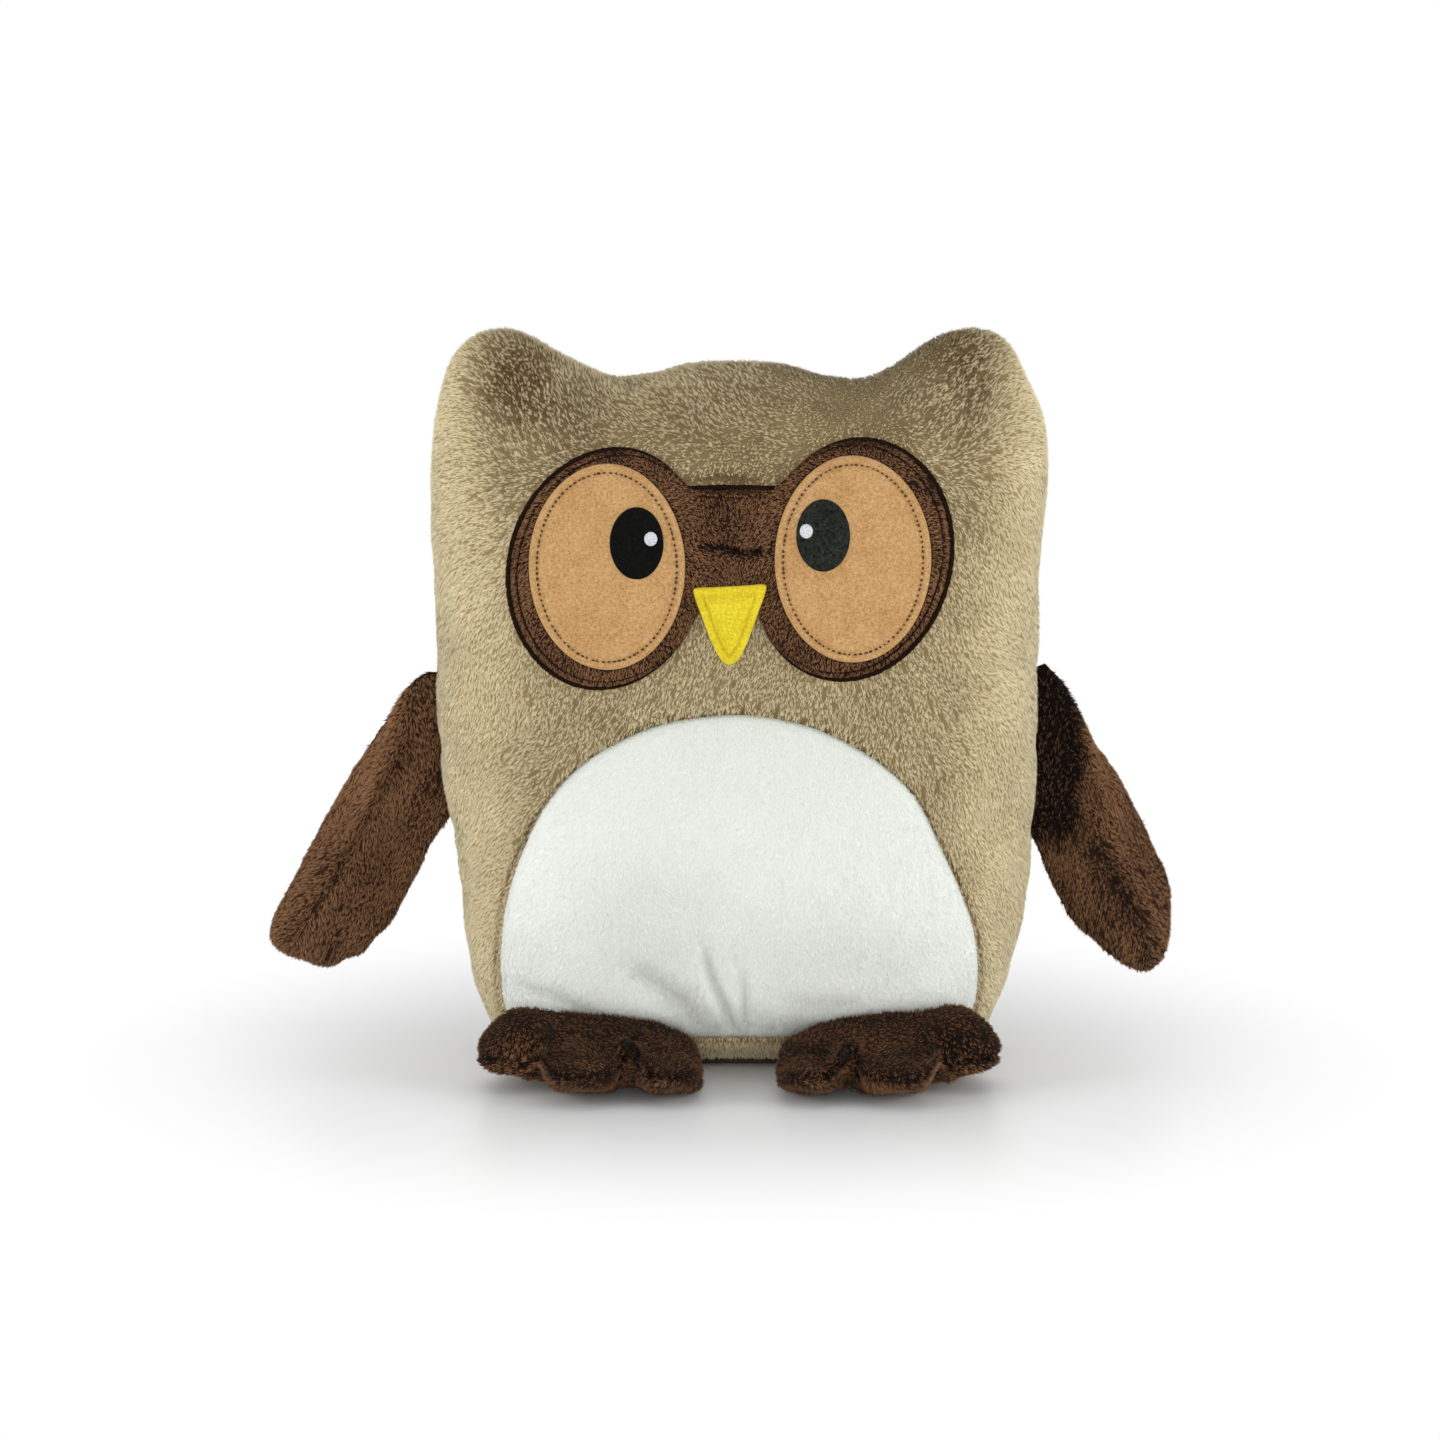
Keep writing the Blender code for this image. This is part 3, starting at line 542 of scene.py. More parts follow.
def add_node(tree: bpy.types.NodeTree, kind: str,
             links: dict[str, bpy.types.NodeSocket] | None = None,
             stops: Sequence[tuple[float, str]] = (), **settings: object) -> bpy.types.Node:
    """Adds a node, with its settings and its input links.

    Args:
        tree: the node tree.
        kind: the node's type name.
        links: which socket feeds each named or numbered input.
        stops: a colour ramp's places and their sRGB hex colours.
        settings: node properties, or input values where the name is an input's with _ for spaces.

    Returns:
        The node.
    """
    node = tree.nodes.new(kind)
    for name, value in settings.items():
        if hasattr(node, name):
            setattr(node, name, value)
        else:
            node.inputs[name.replace("_", " ")].default_value = value
    for name, socket in (links or {}).items():
        tree.links.new(socket, node.inputs[int(name)] if name.isdigit() else node.inputs[name])
    if stops:
        elements = node.color_ramp.elements
        while len(elements) < len(stops):
            elements.new(0.5)
        for element, (place, colour) in zip(elements, stops):
            element.position = place
            element.color = linear(colour)
    return node


@dataclass(frozen=True)
class Finish:
    """What every finish shares: its name, and how its shader is fed."""

    name: str

    def start(self) -> tuple[bpy.types.Material, bpy.types.NodeTree, bpy.types.NodeSocket]:
        """A new material with its tree and the place on the object that its patterns read."""
        material = bpy.data.materials.new(self.name)
        material.use_nodes = True
        tree = material.node_tree
        return material, tree, add_node(tree, "ShaderNodeTexCoord").outputs["Object"]

    @staticmethod
    def feed(tree: bpy.types.NodeTree, colour: bpy.types.NodeSocket,
             relief: bpy.types.NodeSocket | None = None, **uniform: object) -> None:
        """Links a finish's colour and relief to its shader and sets the rest there.

        Args:
            tree: the material's tree.
            colour: its colour.
            relief: its normal, or none where it is smooth.
            uniform: the shader's inputs that are the same all over, with _ for spaces.
        """
        shader = tree.nodes["Principled BSDF"]
        tree.links.new(colour, shader.inputs["Base Color"])
        if relief is not None:
            tree.links.new(relief, shader.inputs["Normal"])
        for name, value in uniform.items():
            shader.inputs[name.replace("_", " ")].default_value = value


@dataclass(frozen=True)
class Plush(Finish):
    """Knitted polyester plush with cut pile. Painted shade darkens it towards the roots of its
    tufts and between them, and where the pile lies so that one looks into it; its tufts are pale at
    their tips."""

    root: str
    middle: str
    tip: str
    shade: str
    sheen: float = 0.12
    sheen_colour: str = "#FFF4DC"
    patchy: float = 0.1
    patch_mm: float = 16

    def material(self) -> bpy.types.Material:
        """The material, which reads each tuft's way up and its tone, mostly painted shade, from the
        mesh.
        """
        material, tree, place = self.start()
        up, tone = (add_node(tree, "ShaderNodeAttribute", attribute_name=name).outputs["Fac"]
                    for name in ("way_up", "tone"))
        # The ramp paints shade towards each tuft's root.
        stroke = add_node(tree, "ShaderNodeValToRGB", {"Fac": up}, (
            (0.0, self.root), (0.4, self.middle), (1.0, self.tip)))
        # Dye lots and handling leave patches about a fingertip wide.
        patches = add_node(tree, "ShaderNodeTexNoise", {"Vector": place}, Detail=2.0,
                           Scale=1 / (self.patch_mm * MM))
        uneven = add_node(tree, "ShaderNodeMapRange", {"Value": patches.outputs["Fac"]},
                          From_Min=0.35, From_Max=0.65, To_Min=0.0, To_Max=self.patchy)
        # The tone is painted shade, and the patches add random tone to it.
        lie = add_node(tree, "ShaderNodeMath", {"0": uneven.outputs["Result"], "1": tone},
                       operation="ADD", use_clamp=True)
        mixed = add_node(tree, "ShaderNodeMix", {
            "Factor": lie.outputs[0], "6": stroke.outputs["Color"]}, data_type="RGBA",
            blend_type="MULTIPLY")
        mixed.inputs[7].default_value = linear(self.shade)
        self.feed(tree, mixed.outputs[2], Roughness=0.9, Specular_IOR_Level=0.12,
                  Sheen_Weight=self.sheen, Sheen_Roughness=0.5,
                  Sheen_Tint=linear(self.sheen_colour))
        return material


@dataclass(frozen=True)
class Felt(Finish):
    """Pressed polyester felt: matte, with fine tangled fibres and a faint cloudiness."""

    colour: str
    fleck: str
    cloud: str
    fibre_mm: float = 0.9
    depth_mm: float = 0.3
    sheen: float = 0.05

    def material(self) -> bpy.types.Material:
        """The material, with tangles drawn at twice their real width so that they show."""
        material, tree, place = self.start()
        fibres = add_node(tree, "ShaderNodeTexNoise", {"Vector": place}, Detail=5.0,
                          Roughness=0.75, Scale=1 / (self.fibre_mm * MM)).outputs["Fac"]
        clouds = add_node(tree, "ShaderNodeTexNoise", {"Vector": place}, Detail=3.0,
                          Scale=1 / (9 * self.fibre_mm * MM)).outputs["Fac"]
        fine = add_node(tree, "ShaderNodeValToRGB", {"Fac": fibres},
                        ((0.36, self.fleck), (0.64, self.colour)))
        wide = add_node(tree, "ShaderNodeMapRange", {"Value": clouds},
                        From_Min=0.4, From_Max=0.7, To_Max=0.6)
        mixed = add_node(tree, "ShaderNodeMix", {
            "Factor": wide.outputs["Result"], "6": fine.outputs["Color"]}, data_type="RGBA",
            blend_type="MULTIPLY")
        mixed.inputs[7].default_value = linear(self.cloud)
        bump = add_node(tree, "ShaderNodeBump", {"Height": fibres},
                        Distance=self.depth_mm * MM, Strength=0.8)
        self.feed(tree, mixed.outputs[2], bump.outputs["Normal"], Roughness=0.95,
                  Specular_IOR_Level=0.1, Sheen_Weight=self.sheen)
        return material


@dataclass(frozen=True)
class Thread(Finish):
    """Polyester sewing and embroidery thread: strands laid side by side, with a low gloss."""

    colour: str
    glint: str
    strand_mm: float = 0.45
    depth_mm: float = 0.2
    roughness: float = 0.55
    gloss: float = 0.2

    def material(self) -> bpy.types.Material:
        """The material, with strands a little coarser than real so that they show."""
        material, tree, place = self.start()
        strands = add_node(tree, "ShaderNodeTexNoise", {"Vector": place}, Detail=3.0,
                           Scale=1 / (self.strand_mm * MM)).outputs["Fac"]
        colour = add_node(tree, "ShaderNodeValToRGB", {"Fac": strands},
                          ((0.35, self.colour), (0.7, self.glint)))
        bump = add_node(tree, "ShaderNodeBump", {"Height": strands},
                        Distance=self.depth_mm * MM, Strength=0.6)
        self.feed(tree, colour.outputs["Color"], bump.outputs["Normal"],
                  Roughness=self.roughness, Specular_IOR_Level=self.gloss)
        return material


@dataclass(frozen=True)
class WovenCloth(Finish):
    """Plain woven polyester, as under the owl's base: a square grid of dark yarns."""

    colour: str
    glint: str
    yarn_mm: float = 0.6
    depth_mm: float = 0.15

    def material(self) -> bpy.types.Material:
        """The material, with warp and weft as two crossed waves."""
        material, tree, place = self.start()
        # A wave texture's bands are 2 pi / 20 of a unit apart at a scale of 1.
        warp, weft = (add_node(tree, "ShaderNodeTexWave", {"Vector": place}, bands_direction=way,
                               Scale=0.314 / (self.yarn_mm * MM)).outputs["Fac"] for way in "XY")
        weave = add_node(tree, "ShaderNodeMath", {"0": warp, "1": weft},
                         operation="MAXIMUM").outputs[0]
        colour = add_node(tree, "ShaderNodeValToRGB", {"Fac": weave},
                          ((0.2, self.colour), (1.0, self.glint)))
        bump = add_node(tree, "ShaderNodeBump", {"Height": weave}, Distance=self.depth_mm * MM)
        self.feed(tree, colour.outputs["Color"], bump.outputs["Normal"], Roughness=0.9)
        return material


@dataclass(frozen=True)
class Wardrobe:
    """Every finish of the owl."""

    # Each plush's dark root colour and its shade colour are painted shade in its pile.
    beige: Plush = Plush("beige_cut_pile_plush", "#A48F65", "#E2D1A5", "#F9EEC9", "#553C1A")
    white: Plush = Plush("white_cut_pile_plush", "#EAEEE6", "#F7FAF4", "#FCFDFA", "#B4BAB0",
                         sheen_colour="#FFFFFF", patchy=0.02)
    mask: Plush = Plush("dark_brown_cut_pile_plush", "#2A1A10", "#875F41", "#B8895F", "#33251A",
                        0.02)
    wing: Plush = Plush("brown_cut_pile_plush", "#301D11", "#865F41", "#BA8C64", "#2B1D13", 0.03)
    foot: Plush = Plush("chocolate_cut_pile_plush", "#1E1109", "#674329", "#C28E64", "#180E09",
                        0.03)
    eye: Felt = Felt("tan_pressed_felt", "#CEA776", "#A17A49", "#EFE3D4", 0.8)
    pupil: Felt = Felt("black_pressed_felt", "#11130F", "#000000", "#A8A8A8", 0.9, sheen=0.0)
    right_pupil: Felt = Felt("grey_black_pressed_felt", "#32352F", "#040503", "#C8C8C8", 1.0,
                             sheen=0.0)
    beak: Felt = Felt("yellow_pressed_felt", "#EBD83B", "#C4AE1C", "#EEE8D0")
    highlight: Thread = Thread("white_satin_stitch", "#A9AEB4", "#DDE0E4")
    edging: Thread = Thread("black_brown_satin_stitch", "#120A05", "#24170D", roughness=0.9,
                            gloss=0.04)
    stitching: Thread = Thread("brown_running_stitch", "#351F0F", "#634327", roughness=0.8)
    base: WovenCloth = WovenCloth("dark_woven_base_cloth", "#2A211A", "#4A3C30")


# The pile


def note(mesh: bpy.types.Mesh, name: str, values: Array) -> None:
    """Writes a number for each vertex under a name that a material reads."""
    mesh.attributes.new(name, "FLOAT", "POINT").data.foreach_set(
        "value", values.astype(np.float32))


@dataclass(frozen=True)
class Pile:
    """Cut pile as slender tufts that lie over and lean together in small clumps.

    Lie is the angle in radians at which the tufts stand up. Gather and ruffle are how strongly
    they lean together and stray; grain and furrow are how dark the painted shade is in the gaps
    between the clumps and in the lines where they part, and a higher unparted gives fewer of
    these lines. The tufts go straight into the mesh as numbers: a Blender operator for each of so
    many would take the better part of an hour.
    """

    length: float = 2.1 * MM
    spacing: float = 0.64 * MM
    width: float = 0.56 * MM
    lie: float = 0.72
    clump: float = 1.35 * MM
    gather: float = 0.5
    ruffle: float = 0.25
    stroke: float = 4.6 * MM
    grain: float = 1.1
    furrow: float = 0.8
    unparted: float = 1.35
    sparkle: float = 0.24
    cloth_shadow: float = 1.5
    seed: int = 3
    sunk: ClassVar[float] = 0.2 * MM
    lowest: ClassVar[float] = 0.1 * MM
    deep: ClassVar[float] = 0.6
    furrow_width: ClassVar[float] = 0.75 * MM
    furrow_lean: ClassVar[float] = 0.6 * MM

    def grow(self, name: str, skin: bpy.types.Object, material: bpy.types.Material, body: str,
             slot: str, comb: Callable[[Array, Array], Array], shade: Callable[[Array], Array],
             keep: Callable[[Array, Array], Array]) -> bpy.types.Object:
        """Covers a skin with tufts.

        Args:
            name: the pile's name.
            skin: the finished skin that it grows on.
            material: its finish.
            body: the CAD body that it rides on.
            slot: the record's slot of its finish.
            comb: gives the way the pile lies, from places and normals.
            shade: gives the painted shade of the pile there, 0 to 1.
            keep: says which places bear pile, from places and normals.

        Returns:
            The pile as one object.
        """
        rng = np.random.default_rng(self.seed)
        self.shadow(skin.data, shade)
        roots, normals = self.sow(skin.data, rng)
        borne = keep(roots, normals)
        roots, normals = roots[borne], normals[borne]
        tone, along, count = shade(roots), comb(roots, normals), len(roots)
        furrow, lean = self.furrows(roots, normals, along, tone)
        cones, way, gap = self.stand(roots, normals, along, tone, furrow, lean, rng)
        mesh = bpy.data.meshes.new(name)
        mesh.vertices.add(4 * count)
        mesh.vertices.foreach_set("co", cones.astype(np.float32).ravel())
        sides = np.array([0, 1, 3, 1, 2, 3, 2, 0, 3])
        corners = (4 * np.arange(count)[:, None] + sides).ravel()
        mesh.loops.add(9 * count)
        mesh.loops.foreach_set("vertex_index", corners.astype(np.int32))
        mesh.polygons.add(3 * count)
        mesh.polygons.foreach_set("loop_start", np.arange(0, 9 * count, 3, dtype=np.int32))
        mesh.update(calc_edges=True)
        # Painted shade: tufts in the gaps between clumps and in the parting lines are darker.
        tone = 0.65 * tone * rng.uniform(0.7, 1.2, count) + self.grain * gap * (0.08 + 1.3 * tone)
        tone = np.where(furrow > self.deep, self.furrow, tone + 0.25 * furrow)
        note(mesh, "way_up", np.tile([0.0, 0.0, 0.0, 1.0], count))
        note(mesh, "tone", np.repeat(tone, 4))
        self.lay_out(mesh, count)
        bent = unit(normals + self.sparkle * (way + rng.normal(0, 1, (count, 3))))
        mesh.shade_smooth()
        mesh.normals_split_custom_set_from_vertices(np.repeat(bent, 4, axis=0).tolist())
        return enlist(name, mesh, material, body, slot)

    def shadow(self, mesh: bpy.types.Mesh, shade: Callable[[Array], Array]) -> None:
        """Paints shade on the cloth between the tufts, where they stand apart and one looks down to
        it.
        """
        if "tone" not in mesh.attributes:
            places = np.array([v.co[:] for v in mesh.vertices])
            note(mesh, "tone", np.clip(self.cloth_shadow * shade(places), 0, 1))

    def stand(self, roots: Array, normals: Array, along: Array, tone: Array, furrow: Array,
              lean: Array, rng: np.random.Generator) -> tuple[Array, Array, Array]:
        """Shapes each tuft as a three-sided cone that lies over.

        Args:
            roots: where the tufts stand.
            normals: the skin's normals there.
            along: the way that the pile lies.
            tone: its painted shade, 0 to 1; it stands up more there and clumps more.
            furrow: how deep in a parting line each root is, 0 to 1.
            lean: how far it leans away from that line.
            rng: what the tufts' differences are drawn from.

        Returns:
            The four corners of each cone, its way from root to tip, and how much it stands in a
            gap between clumps.
        """
        count, deep = len(roots), furrow > self.deep
        stirred = np.clip(0.25 + 1.8 * tone, 0, 1)
        along = turned(along, normals, rng.normal(0, self.ruffle, count))
        pull = nearest_tuft(roots, self.clump, self.seed) - roots
        pull -= (pull * normals).sum(1)[:, None] * normals
        gap = stirred * smoothstep(0.25, 0.62, np.linalg.norm(pull, axis=1) / self.clump)
        gathered = self.gather * (stirred * (1 - furrow))[:, None] * pull + lean
        length = self.length * rng.uniform(0.75, 1.15, count) * (1 - 0.45 * gap)
        length *= np.where(deep, 0.5, 1.0)
        length *= 1 - 0.3 * np.clip(1.8 * tone, 0, 1)
        lift = self.lie * (0.55 + 1.5 * tone) * rng.uniform(0.8, 1.2, count)
        lift = np.where(deep, 0.15, np.minimum(lift, 1.35))[:, None]
        tip = roots + np.where(deep[:, None], 0.0, gathered) + length[:, None] * (
            np.cos(lift) * along + np.sin(lift) * normals)
        tip[:, 2] = np.maximum(tip[:, 2], self.lowest)
        way = unit(tip - roots)
        across = unit(np.cross(along, normals))
        over = np.cross(way, across)
        half = 0.5 * self.width * rng.uniform(0.75, 1.25, count)[:, None]
        around = rng.uniform(0, 2 * np.pi, (count, 1)) + np.arange(3) * 2 * np.pi / 3
        foot = [roots - self.sunk * normals + half * (np.cos(a) * across + 0.7 * np.sin(a) * over)
                for a in (around[:, i:i + 1] for i in range(3))]
        return np.stack([*foot, tip], 1), way, gap

    def furrows(self, roots: Array, normals: Array, along: Array,
                tone: Array) -> tuple[Array, Array]:
        """Short fine lines along its lie in which the pile parts, most where it is darkest.

        Args:
            roots: where the tufts stand.
            normals: the skin's normals there.
            along: the way that the pile lies.
            tone: its painted shade, 0 to 1.

        Returns:
            How deep in a line each root is, 0 to 1, and how far it leans away from the line.
        """
        off = roots - nearest_tuft(roots, self.stroke, self.seed + 1)
        patch = np.round((roots - off) / (0.01 * MM)).astype(np.int64)
        across = unit(np.cross(along, normals))
        ahead = np.abs((off * along).sum(1))
        aside = (off * across).sum(1)
        reach = self.stroke * (0.55 + 0.3 * scattered(patch, self.seed + 2))
        chosen = scattered(patch, self.seed + 3) < 4.0 * tone - self.unparted
        line = bell(aside, self.furrow_width) * fade(0.75, 1.0, ahead / reach) * chosen
        return line, (self.furrow_lean * line * np.sign(aside))[:, None] * across

    def sow(self, mesh: bpy.types.Mesh, rng: np.random.Generator) -> tuple[Array, Array]:
        """Scatters roots over a mesh of quads and triangles, evenly by area.

        Args:
            mesh: the skin's mesh.
            rng: what the places are drawn from.

        Returns:
            The roots and the skin's normals there.
        """
        co, normal = (np.zeros(len(mesh.vertices) * 3, np.float32) for _ in range(2))
        mesh.vertices.foreach_get("co", co)
        mesh.vertex_normals.foreach_get("vector", normal)
        co, normal = (values.reshape(-1, 3).astype(float) for values in (co, normal))
        faces = np.array([(*p.vertices, p.vertices[-1])[:4] for p in mesh.polygons])
        area = np.zeros(len(faces), np.float32)
        mesh.polygons.foreach_get("area", area)
        wanted = area / self.spacing**2
        number = np.floor(wanted + rng.uniform(0, 1, len(faces))).astype(int)
        chosen = faces[np.repeat(np.arange(len(faces)), number)]
        u, v = rng.uniform(0, 1, (2, len(chosen), 1))
        weights = ((1 - u) * (1 - v), u * (1 - v), u * v, (1 - u) * v)
        roots = sum(w * co[chosen[:, i]] for i, w in enumerate(weights))
        return roots, unit(sum(w * normal[chosen[:, i]] for i, w in enumerate(weights)))

    @staticmethod
    def lay_out(mesh: bpy.types.Mesh, count: int) -> None:
        """Gives the pile a flat map: a small cell for each tuft, its root at one end.

        Args:
            mesh: the pile's mesh.
            count: how many tufts it has.
        """
        wide = int(np.ceil(np.sqrt(count)))
        cell = np.column_stack([np.arange(count) % wide, np.arange(count) // wide])
        spots = np.array([[0.1, 0.1], [0.1, 0.9], [0.9, 0.5]])
        flat = (cell[:, None, None, :] + np.tile(spots, (3, 1, 1))[None]) / wide
        mesh.uv_layers.new(name="OFBake").data.foreach_set("uv", flat.astype(np.float32).ravel())


# The body


PILLOW_EDGE = 1 / 2.1


def from_poles(down: Array, crowding: float) -> Array:
    """The share out from the nearer pole to a rim half way down, rows crowding at the rim."""
    way = 1 - np.abs(2 * down - 1)
    return 1 - (1 - way) ** crowding


@dataclass
class Body:
    """The stuffed pillow with ears: front and back of beige plush, and a white plush belly.

    The shares are of the height or the half width, as in the CAD, or along one span of the outline.
    """

    height: float
    half_width: float
    wardrobe: Wardrobe
    ear_rise: float = 16.6 * MM
    crown_rise: float = 5.3 * MM
    cheek_drop: float = 40.8 * MM
    base_sag: float = 6.0 * MM
    belly_depth: float = 49.0 * MM
    face_depth: float = 41.0 * MM
    back_depth: float = 43.0 * MM
    ear_depth: float = 29.0 * MM
    ear_thinning: float = 45.8 * MM
    belly_bottom: float = 13.5 * MM
    belly_offset: float = -0.5 * MM
    wing_root_half: float = 21.5 * MM
    pile_room: float = 0.8 * MM
    bare_below: float = 1.2 * MM
    columns: int = 360
    rows: int = 168
    belly_rows: int = 42
    front_rows: int = 56
    middle_share: float = 0.4641
    hub_share: float = 0.28
    ear_tip_share: float = 0.7539
    valley_share: float = 0.3891
    base_share: float = 0.7101
    belly_top_share: float = 0.5016
    belly_width_share: float = 0.7617
    wing_root_share: float = 0.4399
    bulge_share: float = 0.3430
    bulge_spread: float = 0.3027
    core_shares: tuple = (0.9630, 0.5004)
    crown_shares: tuple = ((0.0, 1.0), (0.45, 0.78), (0.78, 0.22), (1.0, 0.0))
    ear_inner_shares: tuple = ((0.27, 0.20), (0.53, 0.56), (0.79, 0.88), (1.0, 1.0))
    ear_outer_shares: tuple = ((0.34, 0.956), (0.60, 0.81), (0.82, 0.54), (0.95, 0.295), (1.0, 0.0))
    side_shares: tuple = (
        (1.0, 0.918), (0.994, 0.797), (0.990, 0.676), (0.990, 0.556), (0.978, 0.459),
        (0.955, 0.377), (0.938, 0.300), (0.920, 0.217), (0.890, 0.145), (0.842, 0.080),
        (0.785, 0.030))
    under_shares: tuple = ((1.0, 0.0), (0.85, -0.65), (0.60, -0.95), (0.32, -1.0), (0.0, -1.0))
    belly_left: tuple = (
        (0.0, 1.0), (0.28, 0.978), (0.437, 0.94), (0.641, 0.857), (0.794, 0.744), (0.918, 0.593),
        (1.001, 0.44), (1.033, 0.298), (1.038, 0.153), (1.01, 0.05), (0.93, 0.005), (0.70, -0.01),
        (0.35, -0.02), (0.0, -0.02))
    belly_right: tuple = (
        (0.0, 1.0), (0.235, 0.978), (0.393, 0.94), (0.594, 0.857), (0.755, 0.744), (0.859, 0.593),
        (0.945, 0.44), (1.008, 0.298), (1.034, 0.153), (1.016, 0.05), (0.93, 0.005), (0.70, -0.01),
        (0.35, -0.02), (0.0, -0.02))
    # Each dent of the silhouette: where, how wide, and how far along and up it moves the cloth.
    nudges_mm: tuple = (
        (95, 62, 26, 2.6, 0.0), (-92, 60, 32, 1.2, 0.0), (-103, 176, 20, -1.5, 0.0),
        (66, 242, 16, 0.0, 1.6), (97, 232, 11, -1.5, 0.0), (-62, 242, 11, 0.0, -1.2),
        (-92, 236, 12, -1.4, 0.4), (102, 202, 24, 0.7, 0.0))
    belly_folds: tuple = (
        fold(((-12, 47), (-9, 35), (-4.6, 25), (-1, 13)), 1.8, 3.2),
        fold(((-37, 37), (-28, 31), (-19, 25), (-11, 17)), 5.0, 3.2),
        fold(((2, 36), (2, 24), (3, 12)), 1.6, 2.0),
        fold(((-77, 30), (-62, 27), (-46, 22)), 3.2, 1.7),
        fold(((12, 29), (26, 25), (44, 27)), 4.0, 1.0))
    ear_folds: tuple = (fold(((-76, 236), (-60, 230), (-42, 221)), 1.2, 0.5),
                        fold(((77, 237), (62, 231), (43, 222)), 1.2, 0.5))
    brow_fold: Crease = fold(((-17, 200.2), (-6, 201.0), (6, 200.4)), 0.8, 1.4)
    side_folds: tuple = (
        fold(((-93, 122), (-76, 116), (-60, 118)), 5.0, 1.0),
        fold(((95, 128), (80, 118), (66, 120)), 5.0, 1.2),
        fold(((93, 92), (82, 84), (74, 70)), 4.0, 1.2),
        fold(((-91, 88), (-84, 76), (-80, 62)), 4.0, 1.0))
    # Painted shade where one looks deepest into the pile of the ears and forehead: where, how wide,
    # how dark.
    swirls_mm: tuple = ((-74, 231, 12, 0.26), (75, 236, 15, 0.18), (-56, 218, 11, 0.08),
                        (0, 214, 24, 0.03))
    middle: float = field(init=False)
    outline: Outline = field(init=False)
    rim: Outline = field(init=False)
    belly: Outline = field(init=False)

    def __post_init__(self) -> None:
        """Works out the outlines from the sizes."""
        self.middle = self.middle_share * self.height
        ear_tip, valley = self.ear_tip_share * self.half_width, self.valley_share * self.half_width
        low, side = self.height - self.ear_rise, self.height - self.cheek_drop
        half = [(a * valley, low + b * self.crown_rise) for a, b in self.crown_shares]
        half += [(valley + a * (ear_tip - valley), low + b * self.ear_rise)
                 for a, b in self.ear_inner_shares]
        half += [(ear_tip + a * (self.half_width - ear_tip), side + b * self.cheek_drop)
                 for a, b in self.ear_outer_shares]
        half += [(a * self.half_width, b * side) for a, b in self.side_shares]
        half += [(a * self.base_share * self.half_width, b * self.base_sag)
                 for a, b in self.under_shares]
        points = closed_curve(mirrored_round(half), 12)
        hub = (0.0, self.hub_share * self.height)
        self.outline = Outline((0.0, self.middle), points)
        self.rim = Outline(hub, points)
        rise = self.belly_top_share * self.height - self.belly_bottom
        left, right = ([(a * self.belly_width_share * self.half_width, self.belly_bottom + b * rise)
                        for a, b in shares] for shares in (self.belly_left, self.belly_right))
        points = closed_curve(mirrored_round(left, right), 12) + (self.belly_offset, 0.0)
        self.belly = Outline(hub, points)

    @property
    def cuts(self) -> tuple[float, float]:
        """How far down from pole to pole the belly ends, and the front."""
        belly_end = self.belly_rows / self.rows
        return belly_end, belly_end + self.front_rows / self.rows

    def ears(self, z: Array) -> Array:
        """0 below the ears, up to 1 at their tips."""
        return smoothstep(self.height - self.ear_thinning, self.height, z)

    def depth(self, z: Array, face: float) -> Array:
        """How far the middle stands out at a height.

        Args:
            z: the heights.
            face: -1 for the front, 1 for the back.

        Returns:
            A depth for each height.
        """
        if face > 0:
            return self.back_depth - (self.back_depth - self.ear_depth) * self.ears(z)
        bulge = bell(z / self.height - self.bulge_share, self.bulge_spread)
        full = self.face_depth + (self.belly_depth - self.face_depth) * bulge
        return full - (self.face_depth - self.ear_depth) * self.ears(z)

    def stand_out(self, x: Array, z: Array, face: float) -> Array:
        """How far the surface stands out from the middle plane, by the solids' pillow formula.

        Args:
            x: the points' place across.
            z: their height.
            face: -1 for the front, 1 for the back.

        Returns:
            A distance for each point.
        """
        turn = np.arctan2(z - self.middle, x)
        reach = self.outline.reach(turn)
        across, up = self.core_shares
        core = (np.abs(np.cos(turn) / (across * self.half_width)) ** 3
                + np.abs(np.sin(turn) / (up * self.height)) ** 3) ** (-1 / 3)
        wanted = np.hypot(x, z - self.middle)
        low, high = np.zeros_like(wanted), np.ones_like(wanted)
        # Each point's share out to the rim is found by halving; 26 halvings are exact enough.
        for _ in range(26):
            share = 0.5 * (low + high)
            blend = share**2.2
            short = share * (blend * reach + (1 - blend) * core) < wanted
            low = np.where(short, share, low)
            high = np.where(short, high, share)
        return self.depth(z, face) * np.clip(1 - low**3.4, 0, 1) ** PILLOW_EDGE

    def place(self, down: Array, turn: Array) -> Array:
        """The surface, from the belly's pole over the front and the side seam to the back's.

        Args:
            down: each point's way down from pole to pole, 0 to 1.
            turn: its turn round, in radians.

        Returns:
            The points.
        """
        belly_end, seam = self.cuts
        belly, rim = self.belly.reach(turn), self.rim.reach(turn)
        front = 1 - np.clip(1 - (down - belly_end) / (seam - belly_end), 0, 1) ** 1.9
        back = 1 - np.clip((down - seam) / (1 - seam), 0, 1) ** 1.9
        away = np.where(down <= belly_end, belly * down / belly_end,
                        np.where(down <= seam, belly + (rim - belly) * front, rim * back))
        x, z = self.rim.at(away, turn)
        y = np.where(down > seam, self.stand_out(x, z, 1.0), -self.stand_out(x, z, -1.0))
        return np.column_stack([x, y, z])

